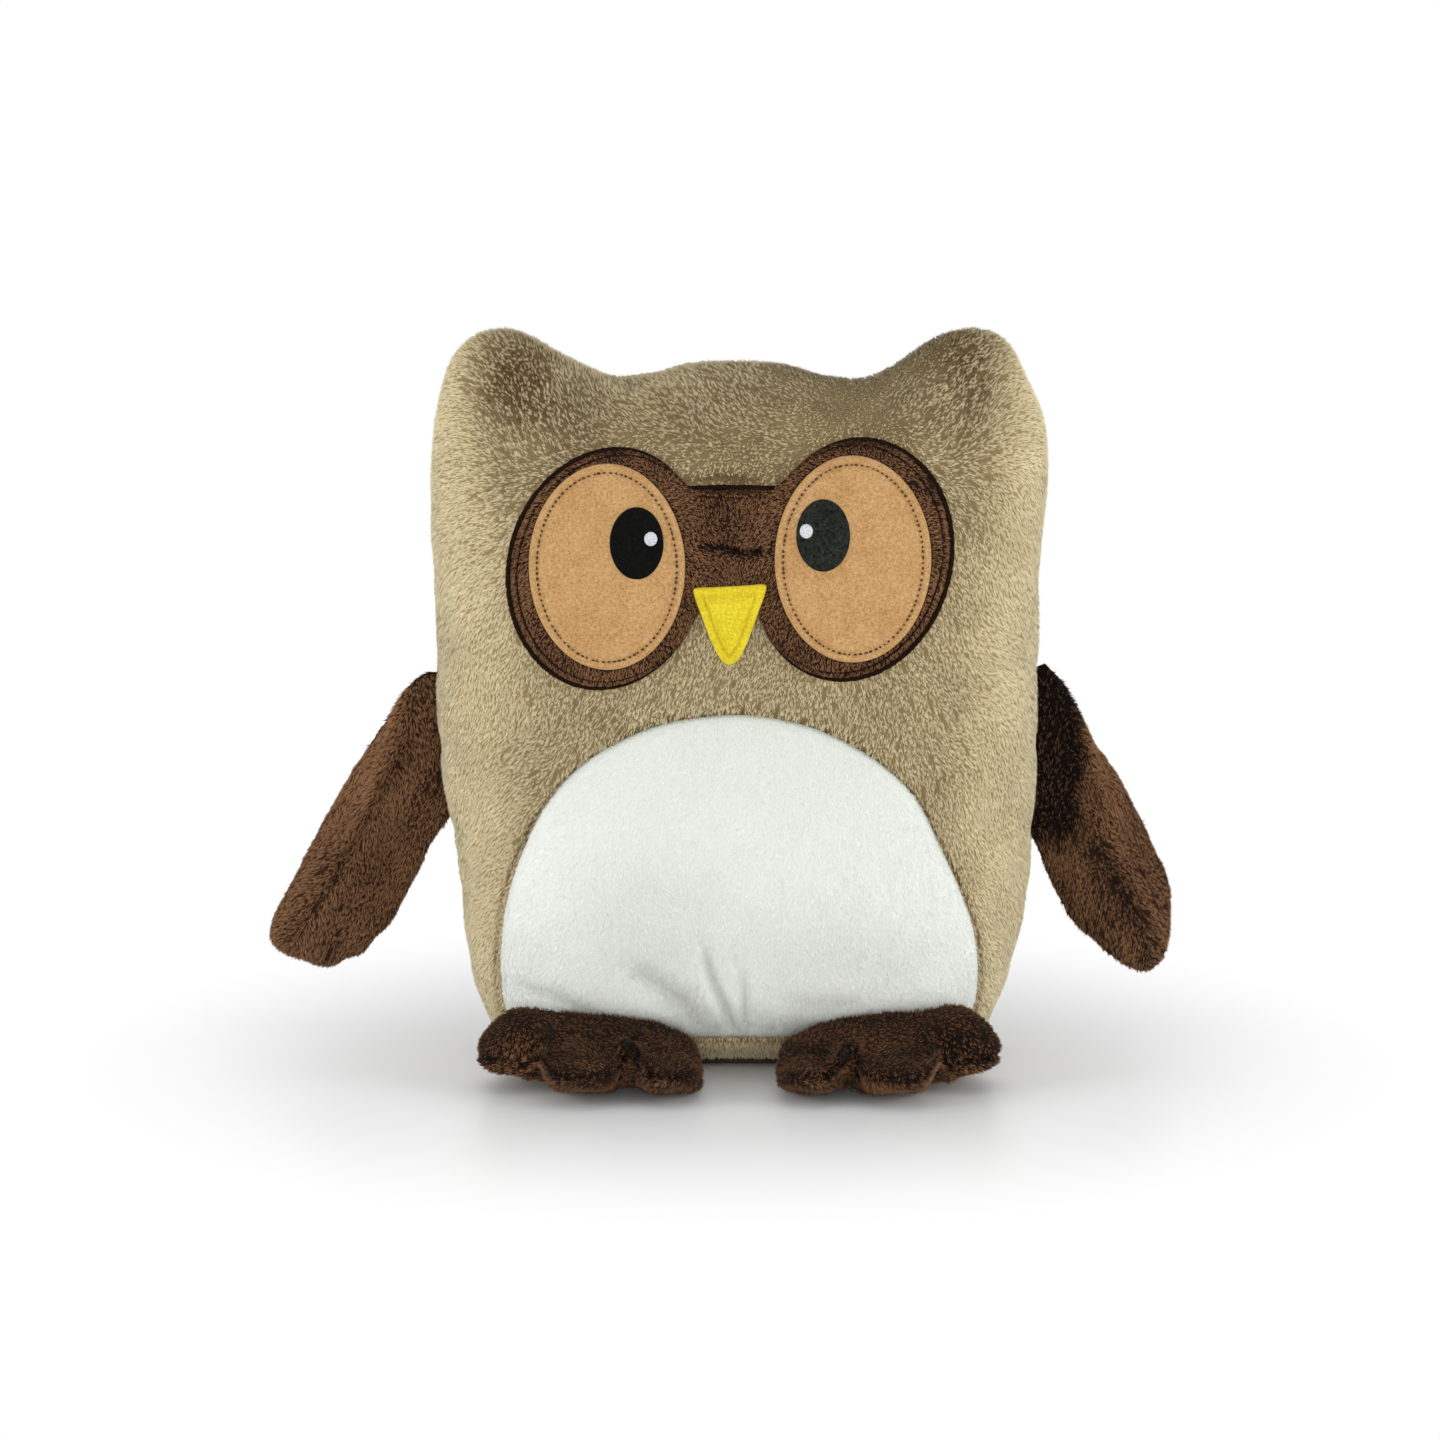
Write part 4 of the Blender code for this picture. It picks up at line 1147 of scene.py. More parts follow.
    def wing_root(self) -> tuple[Vector, Vector]:
        """The lower and upper ends of the right wing's sewn edge, on the side seam."""
        rim, half = self.outline.points, self.wing_root_half
        right = rim[(rim[:, 0] > 0) & (rim[:, 1] > 0) & (rim[:, 1] < self.height - self.cheek_drop)]
        right = right[np.argsort(right[:, 1])]
        level = self.wing_root_share * self.height + np.linspace(-half, half, 24)
        side = np.interp(level, right[:, 1], right[:, 0])
        lean = (side[-1] - side[0]) / (level[-1] - level[0])
        bulge = (side - side[0] - lean * (level - level[0])).max() + 0.3 * MM
        low, high = (Vector((side[i] + bulge, 0.0, level[i])) for i in (0, -1))
        return low, high

    def front(self, x: Array, z: Array, above: Array | float = 0.0) -> Array:
        """Points above the front's surface at (x, z)."""
        return np.column_stack([x, -self.stand_out(x, z, -1.0) - above, z])

    def relief(self, places: Array, shielded: Array) -> Array:
        """How far the stuffed cloth stands out from its plain form.

        Args:
            places: points of the plain form.
            shielded: how far the face lies over each, 0 to 1; the cloth is smoother there.

        Returns:
            A distance along the normal for each point.
        """
        x, y, z = places.T
        front = smoothstep(0.0, 6 * MM, -y)
        smooth = 0.7 * front * self.belly.inside(x, z, 0.0)
        lumps = rippled((Ripple(0.8, 34, 5), Ripple(0.45, 13, 6)), places) * (1 - smooth)
        overhang = 3.1 * front * bell(z - 24 * MM, 10 * MM) * fade(62 * MM, 84 * MM, np.abs(x))
        valley = 1.6 * bell(self.from_seam(places), 1.7 * MM) * front
        creases = (*self.belly_folds, *self.ear_folds, self.brow_fold, *self.side_folds)
        folds = sum(crease.press(x, z) for crease in creases) * front
        side = 0.9 * bell(y, 2.4 * MM) * smoothstep(8 * MM, 20 * MM, z)
        puckers = Ripple(0.3, 9, 8).at(places * (0.35, 0.35, 1.0)) * bell(y, 11 * MM)
        stand = (lumps * (1 - 0.85 * shielded) - valley - side + puckers + overhang) * MM
        return stand - folds - self.pile_room

    def uneven(self, places: Array) -> Array:
        """How far the hand-sewn cloth strays from its symmetric pattern."""
        moves = np.zeros_like(places)
        for x, z, reach, along, up in self.nudges_mm:
            near = bell(np.hypot(places[:, 0] - x * MM, places[:, 2] - z * MM), reach * MM)
            moves[:, 0] += along * MM * near
            moves[:, 2] += up * MM * near
        return moves

    def base_lift(self, places: Array) -> Array:
        """How far the base's front edge curls up off the floor between the feet."""
        x, y, z = places.T
        return 3.0 * MM * bell(z, 9 * MM) * smoothstep(4 * MM, 18 * MM, -y) * fade(
            20 * MM, 60 * MM, np.abs(x + 4 * MM))

    def held(self, at: Array, face: Face) -> Array:
        """How firmly the seams, the appliqué face and the floor hold the skin.

        Args:
            at: points of the skin.
            face: the owl's face.

        Returns:
            A firmness for each point, 0 to 1.
        """
        seam = bell(at[:, 1], 3 * MM)
        sewn = bell((self.belly.share(at[:, 0], at[:, 2]) - 1) * 20, 1.0) * (at[:, 1] < 0)
        floor = fade(2 * MM, 8 * MM, at[:, 2])
        return np.clip(np.maximum.reduce([seam, 0.9 * sewn, 0.9 * face.shield(at), floor]), 0, 1)

    def build(self, face: Face) -> None:
        """Makes the three skins and their pile, none of it under the face."""
        bm, down, turn = ball(self.columns, self.rows)
        put(bm, self.place(down, turn))
        outward(bm)
        normals = vertex_normals(bm)
        places = corners_of(bm)
        moves = Stuffing(slack=0.003).swell(self.place, 120, 60, lambda at: self.held(at, face))
        LOG.info("body filled: moves up to %.1f mm", np.abs(moves).max() / MM)
        shielded = face.shield(places)
        places = places + between(moves, down, turn)
        places = places + normals * self.relief(places, shielded)[:, None] + self.uneven(places)
        places[:, 2] = np.maximum(places[:, 2], 0.4 * MM) + self.base_lift(places)
        put(bm, places)
        belly_end, seam = self.cuts
        beige, white = self.wardrobe.beige.material(), self.wardrobe.white.material()
        parts = (("belly_skin", 0.0, belly_end, white, "white_plush", ("belly_panel",)),
                 ("front_skin", belly_end, seam, beige, "beige_plush",
                  ("front_panel", "body_stuffing", "pellet_bag")),
                 ("back_skin", seam, 1.0, beige, "beige_plush", ("back_panel",)))
        skins = {}
        for name, start, end, material, slot, nodes in parts:
            cut = bm.copy()
            middles = [0.5 * (min(w) + max(w)) for w in (
                [down[v.index] for v in f.verts] for f in cut.faces)]
            bmesh.ops.delete(cut, context="FACES", geom=[
                f for f, m in zip(cut.faces, middles) if not start < m < end])
            skins[name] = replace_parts(piece(name, cut, material, "body", slot), *nodes)
        bm.free()
        Pile(length=1.5 * MM, spacing=0.55 * MM, width=0.5 * MM, lie=0.6, gather=0.3, grain=0.35,
             unparted=3.0, sparkle=0.14, seed=11).grow(
            "belly_pile", skins["belly_skin"], white, "body", "white_plush", self.comb,
            self.belly_shade, lambda p, n: p[:, 2] > self.bare_below)
        # Two piles to a cloth keep each under the export's limit of triangles.
        halves = (("front_upper_pile", "front_skin", 0.62, 0.150, 1.0, 12),
                  ("front_lower_pile", "front_skin", 0.62, self.bare_below, 0.150, 13),
                  ("back_upper_pile", "back_skin", 0.72, 0.125, 1.0, 14),
                  ("back_lower_pile", "back_skin", 0.72, self.bare_below, 0.125, 15))
        for name, skin, gap_mm, low, high, seed in halves:
            Pile(spacing=gap_mm * MM, width=gap_mm * MM, seed=seed).grow(
                name, skins[skin], beige, "body", "beige_plush", self.comb, self.dusk,
                lambda p, n: (p[:, 2] > low) & (p[:, 2] <= high) & ~face.covers(p)
                & ~self.pinched(p))

    def comb(self, places: Array, normals: Array) -> Array:
        """The way the pile lies: down and out, across the forehead, and in whorls on the ears.

        Args:
            places: points of the skin.
            normals: its normals there.

        Returns:
            A direction along the skin for each point.
        """
        x, _, z = places.T
        brow = smoothstep(195 * MM, 222 * MM, z) * fade(50 * MM, 80 * MM, np.abs(x))
        angle = rippled((Ripple(0.75, 44, 21), Ripple(0.5, 14, 22)), places) * (0.7 + 1.1 * brow)
        angle = angle + Ripple(0.25, 4.5, 23).at(places)
        for sign in (-1.0, 1.0):
            angle = angle + sign * 2.2 * bell(np.hypot(x - sign * 74 * MM, z - 222 * MM), 24 * MM)
        angle = angle + 1.6 * self.rubbed(x, z)
        way = np.tile([0.0, 0.0, -1.0], (len(places), 1))
        way[:, 0] = 0.45 * x / self.half_width - 1.1 * brow
        return turned(way, normals, angle)

    def rubbed(self, x: Array, z: Array) -> Array:
        """1 at the patch of belly that hands have rubbed, fading to 0 round it."""
        return bell(np.hypot((x + 28 * MM) / (20 * MM), (z - 62 * MM) / (14 * MM)), 1.0)

    def pinched(self, places: Array) -> Array:
        """Whether a place lies deep in the tight crease above the mask's bridge."""
        x, y, z = places.T
        return (y < 0) & (self.brow_fold.press(x, z) > 0.85 * self.brow_fold.depth)

    def belly_shade(self, places: Array) -> Array:
        """How dark the belly's pile is painted: darker towards its top and on the rubbed patch,
        with painted shade in its folds and its seam.
        """
        x, _, z = places.T
        # Painted shade in the belly's folds and its seam.
        folds = sum(crease.press(x, z) for crease in self.belly_folds) / (3 * MM)
        seam = bell(self.from_seam(places - self.uneven(places)), 0.7 * MM)
        upper = 0.12 * smoothstep(60 * MM, 125 * MM, z)
        return np.clip(0.02 + upper + 0.14 * self.rubbed(x, z) + 0.12 * folds + 0.5 * seam, 0, 1)

    def from_seam(self, places: Array) -> Array:
        """How far in the XZ plane places on the front are from the belly's seam."""
        x, _, z = places.T
        turn = np.arctan2(z - self.belly.centre[1], x - self.belly.centre[0])
        return np.abs(self.belly.share(x, z) - 1) * self.belly.reach(turn)

    def dusk(self, places: Array) -> Array:
        """How dark the pile is painted. Painted shade is least on the cheeks and sides and most on
        the forehead and ears, where one looks into the pile for the way it lies, and deeper in the
        belly's seam and the crease above the mask's bridge."""
        x, y, z = places.T
        high = smoothstep(160 * MM, 205 * MM, z)
        limit = (88 + 12 * high) * MM
        middle = fade(0.0, 1.0, (np.abs(x) - limit + 24 * MM) / (24 * MM))
        front = 0.02 + middle * (0.2 + 0.06 * high) + Ripple(0.05, 18, 29).at(places)
        for cx, cz, reach, more in self.swirls_mm:
            front = front + more * bell(np.hypot(x - cx * MM, z - cz * MM), reach * MM)
        front = front * smoothstep(4 * MM, 18 * MM, z)
        # Painted shade in the belly's seam valley and in the crease above the mask's bridge.
        front = front + 0.3 * bell(self.from_seam(places - self.uneven(places)), 0.6 * MM)
        front = front + 0.7 * self.brow_fold.press(x, z) / self.brow_fold.depth
        return np.clip(np.where(y < 0, front, 0.16 + Ripple(0.08, 30, 30).at(places)), 0, 1)


# The face


@dataclass
class Patch:
    """A flat piece sewn on the front, with a rounded edge and a relief of its own."""

    outline: Outline
    low: float
    thickness: float
    columns: int = 96
    rows: int = 40
    edge: float = 40.0
    crown: float = 0.0

    def build(self, body: Body, relief: Relief | None = None) -> bmesh.types.BMesh:
        """The patch's mesh on the body's front.

        Args:
            body: what it is sewn on.
            relief: height to add at each share out from the centre and each reach.

        Returns:
            The closed mesh, its faces outwards.
        """
        bm, down, turn = ball(self.columns, self.rows)
        share, reach = from_poles(down, 2.2), self.outline.reach(turn)
        x, z = self.outline.at(share * reach, turn)
        top = self.thickness * np.clip(1 - share**self.edge, 0, 1) ** 0.45
        top = top + self.crown * (1 - share**2)
        if relief is not None:
            top = top + relief(share, reach)
        above = self.low + np.where(down <= 0.5, top, 0.0)
        put(bm, body.front(x, z, above))
        outward(bm)
        return bm


@dataclass
class Face:
    """The mask with its stitched edge, the felt eyes, pupils and highlights, and the beak."""

    body: Body
    wardrobe: Wardrobe
    offset: float = -3.0 * MM
    ring_half_width: float = 32.0 * MM
    ring_half_height: float = 38.6 * MM
    ring_lean: float = 0.28
    bridge_rise: float = 15.8 * MM
    bridge_drop: float = 20.0 * MM
    edging_width: float = 1.6 * MM
    edging_height: float = 1.3 * MM
    topstitch_inset: float = 2.3 * MM
    mask_low: float = -0.4 * MM
    mask_thickness: float = 2.0 * MM
    eye_half_width: float = 25.6 * MM
    eye_half_height: float = 33.2 * MM
    eye_low: float = 2.6 * MM
    eye_thickness: float = 1.3 * MM
    stitch_inset: float = 2.7 * MM
    stitch_pitch: float = 1.75 * MM
    stitch_length: float = 1.1 * MM
    pupil_half_width: float = 8.8 * MM
    pupil_half_height: float = 11.6 * MM
    pupil_inward: float = 9.8 * MM
    pupil_rise: float = 8.0 * MM
    highlight_radius: float = 2.2 * MM
    highlight_inward: tuple = (4.6 * MM, 5.5 * MM)
    highlight_rise: float = 1.5 * MM
    beak_half_width: float = 12.0 * MM
    beak_length: float = 25.5 * MM
    beak_groove: float = 2.9 * MM
    beak_tilt: float = 0.055
    beak_shares: tuple = (
        (0.0, 1.0), (0.50, 1.0), (0.93, 1.0), (0.99, 0.98), (0.985, 0.93), (0.89, 0.79),
        (0.79, 0.67), (0.64, 0.47), (0.46, 0.26), (0.31, 0.12), (0.16, 0.03), (0.0, 0.0))
    bridge_crease: Crease = fold(((-15, 179), (-7, 179.5), (2, 177.5), (11, 178)), 1.3, 1.5)
    # The folds of each eye's felt, left eye first, from its middle: line, width and depth.
    eye_folds_mm: tuple = ((((4, -3), (2, -10), (3, -18)), 1.5, 0.6),
                           (((-8, -20), (4, -24)), 2.0, 0.2))
    stitch_seeds: tuple = (7, 8)
    mask: Outline = field(init=False)
    eyes: dict = field(init=False)
    beak: Outline = field(init=False)

    def __post_init__(self) -> None:
        """Works out the outlines from the sizes."""
        height, width = self.body.height, self.body.half_width
        turn = np.linspace(-np.pi, np.pi, 720, endpoint=False)
        way = np.column_stack([np.cos(turn), np.sin(turn)])
        spacing = 0.3842 * width
        bridge = np.where(way[:, 1] > 0, self.bridge_rise, self.bridge_drop)
        reach = bridge / np.maximum(np.abs(way[:, 1]), bridge / spacing)
        for sign, share in ((-1, 0.6925), (1, 0.7046)):
            centre = np.array([sign * spacing, (share - 0.7324) * height])
            reach = np.maximum(reach, self.ring_reach(way, centre))
        for _ in range(3):
            reach = (np.roll(reach, 1) + 2 * reach + np.roll(reach, -1)) / 4
        middle = (self.offset, 0.7324 * height)
        self.mask = Outline(middle, np.asarray(middle) + way * reach[:, None])
        self.eyes = {}
        for side, share in ((Side.LEFT, 0.6961), (Side.RIGHT, 0.7062)):
            centre = (self.offset + side.sign * 0.3911 * width, share * height)
            self.eyes[side] = ellipse(centre, self.eye_half_width, self.eye_half_height)
        tip = 0.6719 * height - self.beak_length
        half = [(a * self.beak_half_width, tip + b * self.beak_length) for a, b in self.beak_shares]
        points = closed_curve(mirrored_round(half), 10) + (self.offset, 0.0)
        points[:, 1] += self.beak_tilt * (points[:, 0] - self.offset)
        self.beak = Outline((self.offset, tip + 0.62 * self.beak_length), points)

    def ring_reach(self, way: Array, centre: Array) -> Array:
        """How far out each direction leaves one ring of the mask, an ellipse that leans right.

        Args:
            way: directions, one unit vector in a row.
            centre: the ring's middle.

        Returns:
            A distance for each direction, 0 where it misses the ring.
        """
        cos, sin = np.cos(self.ring_lean), np.sin(self.ring_lean)
        upright = np.array([[cos, sin], [-sin, cos]])
        scale = np.array([self.ring_half_width, self.ring_half_height])
        w, c = way @ upright / scale, centre @ upright / scale
        a, b = (w * w).sum(1), w @ c
        inside = b * b - a * (c @ c - 1.0)
        hit = (b + np.sqrt(np.maximum(inside, 0.0))) / a
        return np.where((inside > 0) & (b > 0), hit, 0.0)

    def shield(self, places: Array) -> Array:
        """1 where the face lies on the body, fading to 0 round it."""
        share = self.mask.share(places[:, 0], places[:, 2])
        return np.where(places[:, 1] < 0, fade(1.0, 1.3, share), 0.0)

    def covers(self, places: Array) -> Array:
        """Whether the mask hides a place on the body."""
        return (places[:, 1] < 0) & self.mask.inside(places[:, 0], places[:, 2], -0.4 * MM)

    def sew(self, name: str, bm: bmesh.types.BMesh, finish: Plush | Felt | Thread, slot: str,
            node: str) -> bpy.types.Object:
        """A piece of the face.

        Args:
            name: its name.
            bm: its mesh, which is freed.
            finish: what it is made of.
            slot: the record's slot of its finish.
            node: the frame's node that it stands for.

        Returns:
            The piece.
        """
        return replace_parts(piece(name, bm, finish.material(), "body", slot), node)

    def build(self) -> None:
        """Makes every piece of the face."""
        self.build_mask()
        for side in Side:
            self.build_eye(side)
        self.build_beak()

    def build_mask(self) -> None:
        """The dark plush mask, its pile, and the satin stitch that binds its edge."""
        bm = Patch(self.mask, self.mask_low, self.mask_thickness, columns=360, rows=60).build(
            self.body)
        places = corners_of(bm)
        top = vertex_normals(bm)[:, 1] < 0
        x, z = places[:, 0], places[:, 2]
        puffs = 0.8 * MM * bell(np.abs(z - 178.5 * MM) - 5 * MM, 3.5 * MM)
        puffs = puffs * bell(x + 2 * MM, 13 * MM, 4)
        uneven = 0.35 * MM * Ripple(1.0, 9, 31).at(places)
        pressed = self.bridge_crease.press(x, z) + uneven - puffs
        places[:, 1] += np.where(top, pressed, 0.0)
        put(bm, places)
        skin = self.sew("mask_skin", bm, self.wardrobe.mask, "dark_brown_plush", "eye_mask")
        Pile(length=1.6 * MM, spacing=0.5 * MM, width=0.45 * MM, clump=1.25 * MM, lie=0.6,
             gather=0.45, grain=0.5, unparted=1.9, seed=16).grow(
            "mask_pile", skin, skin.data.materials[0], "body", "dark_brown_plush", self.comb,
            self.dusk, self.bears_pile)
        thread = self.wardrobe.edging.material()
        self.build_band("mask_edging_stitch", thread, -0.5 * self.edging_width, self.edging_width,
                        self.edging_height, 0.7 * MM)
        self.build_band("mask_topstitch", thread, self.topstitch_inset, 0.5 * MM, 0.5 * MM,
                        1.75 * MM)

    def dusk(self, places: Array) -> Array:
        """How dark the mask's pile is painted: in patches, with painted shade most in the bridge's
        crease.
        """
        pressed = self.bridge_crease.press(places[:, 0], places[:, 2])
        return np.clip(0.18 + Ripple(0.16, 8, 39).at(places) + 0.5 * pressed / MM, 0, 1)

    def bears_pile(self, places: Array, normals: Array) -> Array:
        """Whether a place on the mask shows: on its front, and not under an eye or the beak."""
        x, z = places[:, 0], places[:, 2]
        shows = normals[:, 1] < 0
        for outline in (*self.eyes.values(), self.beak):
            shows &= ~outline.inside(x, z, 0.3 * MM)
        sewn = self.mask.inside(x, z, self.topstitch_inset + 0.25 * MM)
        return shows & (sewn | ~self.mask.inside(x, z, self.topstitch_inset - 0.25 * MM))

    def comb(self, places: Array, normals: Array) -> Array:
        """The mask's pile lies outwards from each eye, and down on the bridge."""
        way = np.zeros_like(places)
        for outline in self.eyes.values():
            out = places[:, [0, 2]] - np.asarray(outline.centre)
            near = bell(np.linalg.norm(out, axis=1), 34 * MM, 4)
            way[:, [0, 2]] += unit(out) * near[:, None]
        way[:, 2] -= 0.5
        return turned(way, normals, Ripple(0.6, 9, 24).at(places))

    def build_band(self, name: str, thread: bpy.types.Material, inset: float, width: float,
                   height: float, above: float) -> None:
        """A band of thread that follows the mask's edge, its strands laid across it.

        Args:
            name: the band's name.
            thread: its finish.
            inset: how far inside the mask's edge its middle runs, negative for outside.
            width: how wide it is.
            height: how thick it is.
            above: how far its middle stands above the body's front.
        """
        count, around = 1400, 10
        bm = bmesh.new()
        bmesh.ops.create_grid(bm, x_segments=count, y_segments=around, size=0.5)
        uv = np.array([v.co[:2] for v in bm.verts]) + 0.5
        turn, section = 2 * np.pi * uv[:, 0], 2 * np.pi * uv[:, 1]
        strand = np.round(uv[:, 0] * count).astype(np.int64) % count // 2
        uneven = scattered(np.column_stack([strand, strand * 0, strand * 0]), 41)
        half = 0.5 * width * (1 + 0.16 * uneven)
        x, z = self.mask.at(self.mask.reach(turn) - inset + half * np.cos(section), turn)
        lift = 0.5 * height * (1 + 0.14 * uneven) * np.sin(section)
        put(bm, self.body.front(x, z, above + lift))
        bmesh.ops.remove_doubles(bm, verts=bm.verts, dist=1e-7)
        outward(bm)
        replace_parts(piece(name, bm, thread, "body", "edging_thread"), "mask_edging")

    def build_eye(self, side: Side) -> None:
        """A felt eye with its running stitch, pupil and highlight."""
        outline, name = self.eyes[side], side.value
        crown = 0.5 * MM

        def sewn(share: Array, reach: Array) -> Array:
            """A low crown with a groove where the running stitch pulls the felt down."""
            from_stitch = (1 - share) * reach - self.stitch_inset
            return crown * (1 - share**2) - 0.42 * MM * bell(from_stitch, 0.7 * MM)

        bm = Patch(outline, self.eye_low, self.eye_thickness, columns=240, rows=72).build(
            self.body, sewn)
        places = corners_of(bm)
        cx, cz = outline.centre
        line, width, depth = side.pick(self.eye_folds_mm)
        crease = Crease(tuple((cx + x * MM, cz + z * MM) for x, z in line), width * MM, depth * MM)
        places[:, 1] += crease.press(places[:, 0], places[:, 2])
        places[:, 1] += 0.18 * MM * Ripple(1.0, 11, 33).at(places)
        put(bm, places)
        outward(bm)
        self.sew(f"{name}_eye_felt", bm, self.wardrobe.eye, "tan_felt", f"{name}_eye")
        self.build_stitches(side, outline, self.eye_low + self.eye_thickness + crown - 0.38 * MM)

        centre = (cx - side.sign * self.pupil_inward, cz + self.pupil_rise)
        low = self.eye_low + self.eye_thickness + 0.3 * MM
        dot = ellipse(centre, self.pupil_half_width, self.pupil_half_height)
        bm = Patch(dot, low, 0.75 * MM, columns=96, rows=32, edge=18.0, crown=0.25 * MM).build(
            self.body)
        felt = side.pick((self.wardrobe.pupil, self.wardrobe.right_pupil))
        self.sew(f"{name}_pupil_felt", bm, felt, "black_felt", f"{name}_pupil")

        inward = side.pick(self.highlight_inward)
        centre = (centre[0] - side.sign * inward, centre[1] + self.highlight_rise)
        dot = ellipse(centre, self.highlight_radius, self.highlight_radius * 1.06)
        bm = Patch(dot, low + 0.7 * MM, 0.45 * MM, columns=40, rows=20, edge=6.0,
                   crown=0.15 * MM).build(self.body)
        self.sew(f"{name}_highlight_stitch", bm, self.wardrobe.highlight, "white_thread",
                 f"{name}_highlight")

    def build_stitches(self, side: Side, outline: Outline, above: float) -> None:
        """The running stitch round an eye, one small bead of thread for each stitch.

        Args:
            side: which eye.
            outline: the eye's outline.
            above: how far the stitches stand above the body's front.
        """
        turn = np.linspace(0, 2 * np.pi, 2000, endpoint=False)
        line = np.column_stack(outline.at(outline.reach(turn) - self.stitch_inset, turn))
        steps = np.linalg.norm(np.roll(line, -1, 0) - line, axis=1)
        run = np.concatenate([[0.0], np.cumsum(steps)])
        count = int(round(run[-1] / self.stitch_pitch))
        rng = np.random.default_rng(side.pick(self.stitch_seeds))
        bm = bmesh.new()
        for i in range(count):
            start = (i + rng.uniform(-0.12, 0.12)) * run[-1] / count
            ends = []
            for at in (start, start + self.stitch_length * rng.uniform(0.65, 1.3)):
                spot = np.array([np.interp(at % run[-1], run, np.append(line[:, k], line[0, k]))
                                 for k in (0, 1)])
                ends.append(Vector(self.body.front(spot[:1], spot[1:], above)[0]))
            along = ends[1] - ends[0]
            frame = along.to_track_quat("Z", "Y").to_matrix().to_4x4()
            thick = 0.38 * MM * rng.uniform(0.8, 1.2)
            size = Matrix.Diagonal((thick, 0.9 * thick, 0.5 * along.length, 1.0))
            middle = Matrix.Translation((ends[0] + ends[1]) / 2)
            bmesh.ops.create_uvsphere(bm, u_segments=6, v_segments=5, radius=1.0,
                                      matrix=middle @ frame @ size)
        piece(f"{side.value}_eye_running_stitch", bm, self.wardrobe.stitching.material(), "body",
              "edging_thread")

    def build_beak(self) -> None:
        """The padded felt beak, with a sewn groove inside its edge."""
        low = self.mask_low + self.mask_thickness + 0.5 * MM
        bm = Patch(self.beak, low, 1.5 * MM, columns=200, rows=72, edge=16.0).build(self.body)
        places = corners_of(bm)
        top = vertex_normals(bm)[:, 1] < -0.2
        edge = self.beak.points
        after = np.roll(edge, -1, axis=0) - edge
        here = places[:, None, [0, 2]] - edge[None]
        along = np.clip((here * after).sum(2) / (after * after).sum(1), 0, 1)
        inward = np.linalg.norm(here - along[:, :, None] * after, axis=2).min(1)
        cushion = 1.3 * MM * smoothstep(0.0, 2.6 * MM, inward - self.beak_groove)
        groove = 0.7 * MM * bell(inward - self.beak_groove, 0.45 * MM)
        places[:, 1] -= np.where(top, cushion - groove, 0.0)
        put(bm, places)
        outward(bm)
        self.sew("beak_felt", bm, self.wardrobe.beak, "yellow_felt", "beak")


# Limbs


@dataclass
class Limb:
    """A flat stuffed limb of plush, sewn to the body by one edge and named after its body.

    A kind of limb gives its shape for the right side, and how its skin is held, stands out, is
    combed and looks.
    """

    side: Side
    outline: Outline = field(init=False)
    kind: ClassVar[str]
    parts: ClassVar[tuple[str, ...]]
    slot: ClassVar[str]
    grid: ClassVar[tuple[int, int]]
    most: ClassVar[float]
    seeds: ClassVar[tuple[int, int]]
    pile: ClassVar[Pile]

    @property
    def seed(self) -> int:
        """What this side's lumps and tufts are drawn from."""
        return self.side.pick(self.seeds)

    def build(self, material: bpy.types.Material) -> None:
        """Makes the limb's skin and pile."""
        bm, down, turn = ball(*self.grid)
        moves = Stuffing(most=self.most).swell(self.place, 72, 36, self.held)
        places = self.place(down, turn) + between(moves, down, turn)
        grip = smoothstep(0.0, 8 * MM, self.from_root(places))
        places = self.tucked(places)
        places[:, 0] *= self.side.sign
        put(bm, places)
        outward(bm)
        places = places + vertex_normals(bm) * self.relief(places, grip)[:, None]
        places[:, 2] = np.maximum(places[:, 2], 0.3 * MM)
        put(bm, places)
        body = f"{self.side.value}_{self.kind}"
        skin = piece(f"{body}_skin", bm, material, body, self.slot)
        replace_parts(skin, *(f"{body}_{part}" for part in self.parts))
        replace(self.pile, seed=self.seed).grow(
            f"{body}_pile", skin, material, body, self.slot, self.comb, self.dusk,
            lambda p, n: p[:, 2] > 1.4 * MM)

    def tucked(self, places: Array) -> Array:
        """The plain form pushed into the seam where the limb is sewn; left as it is here."""
        return places


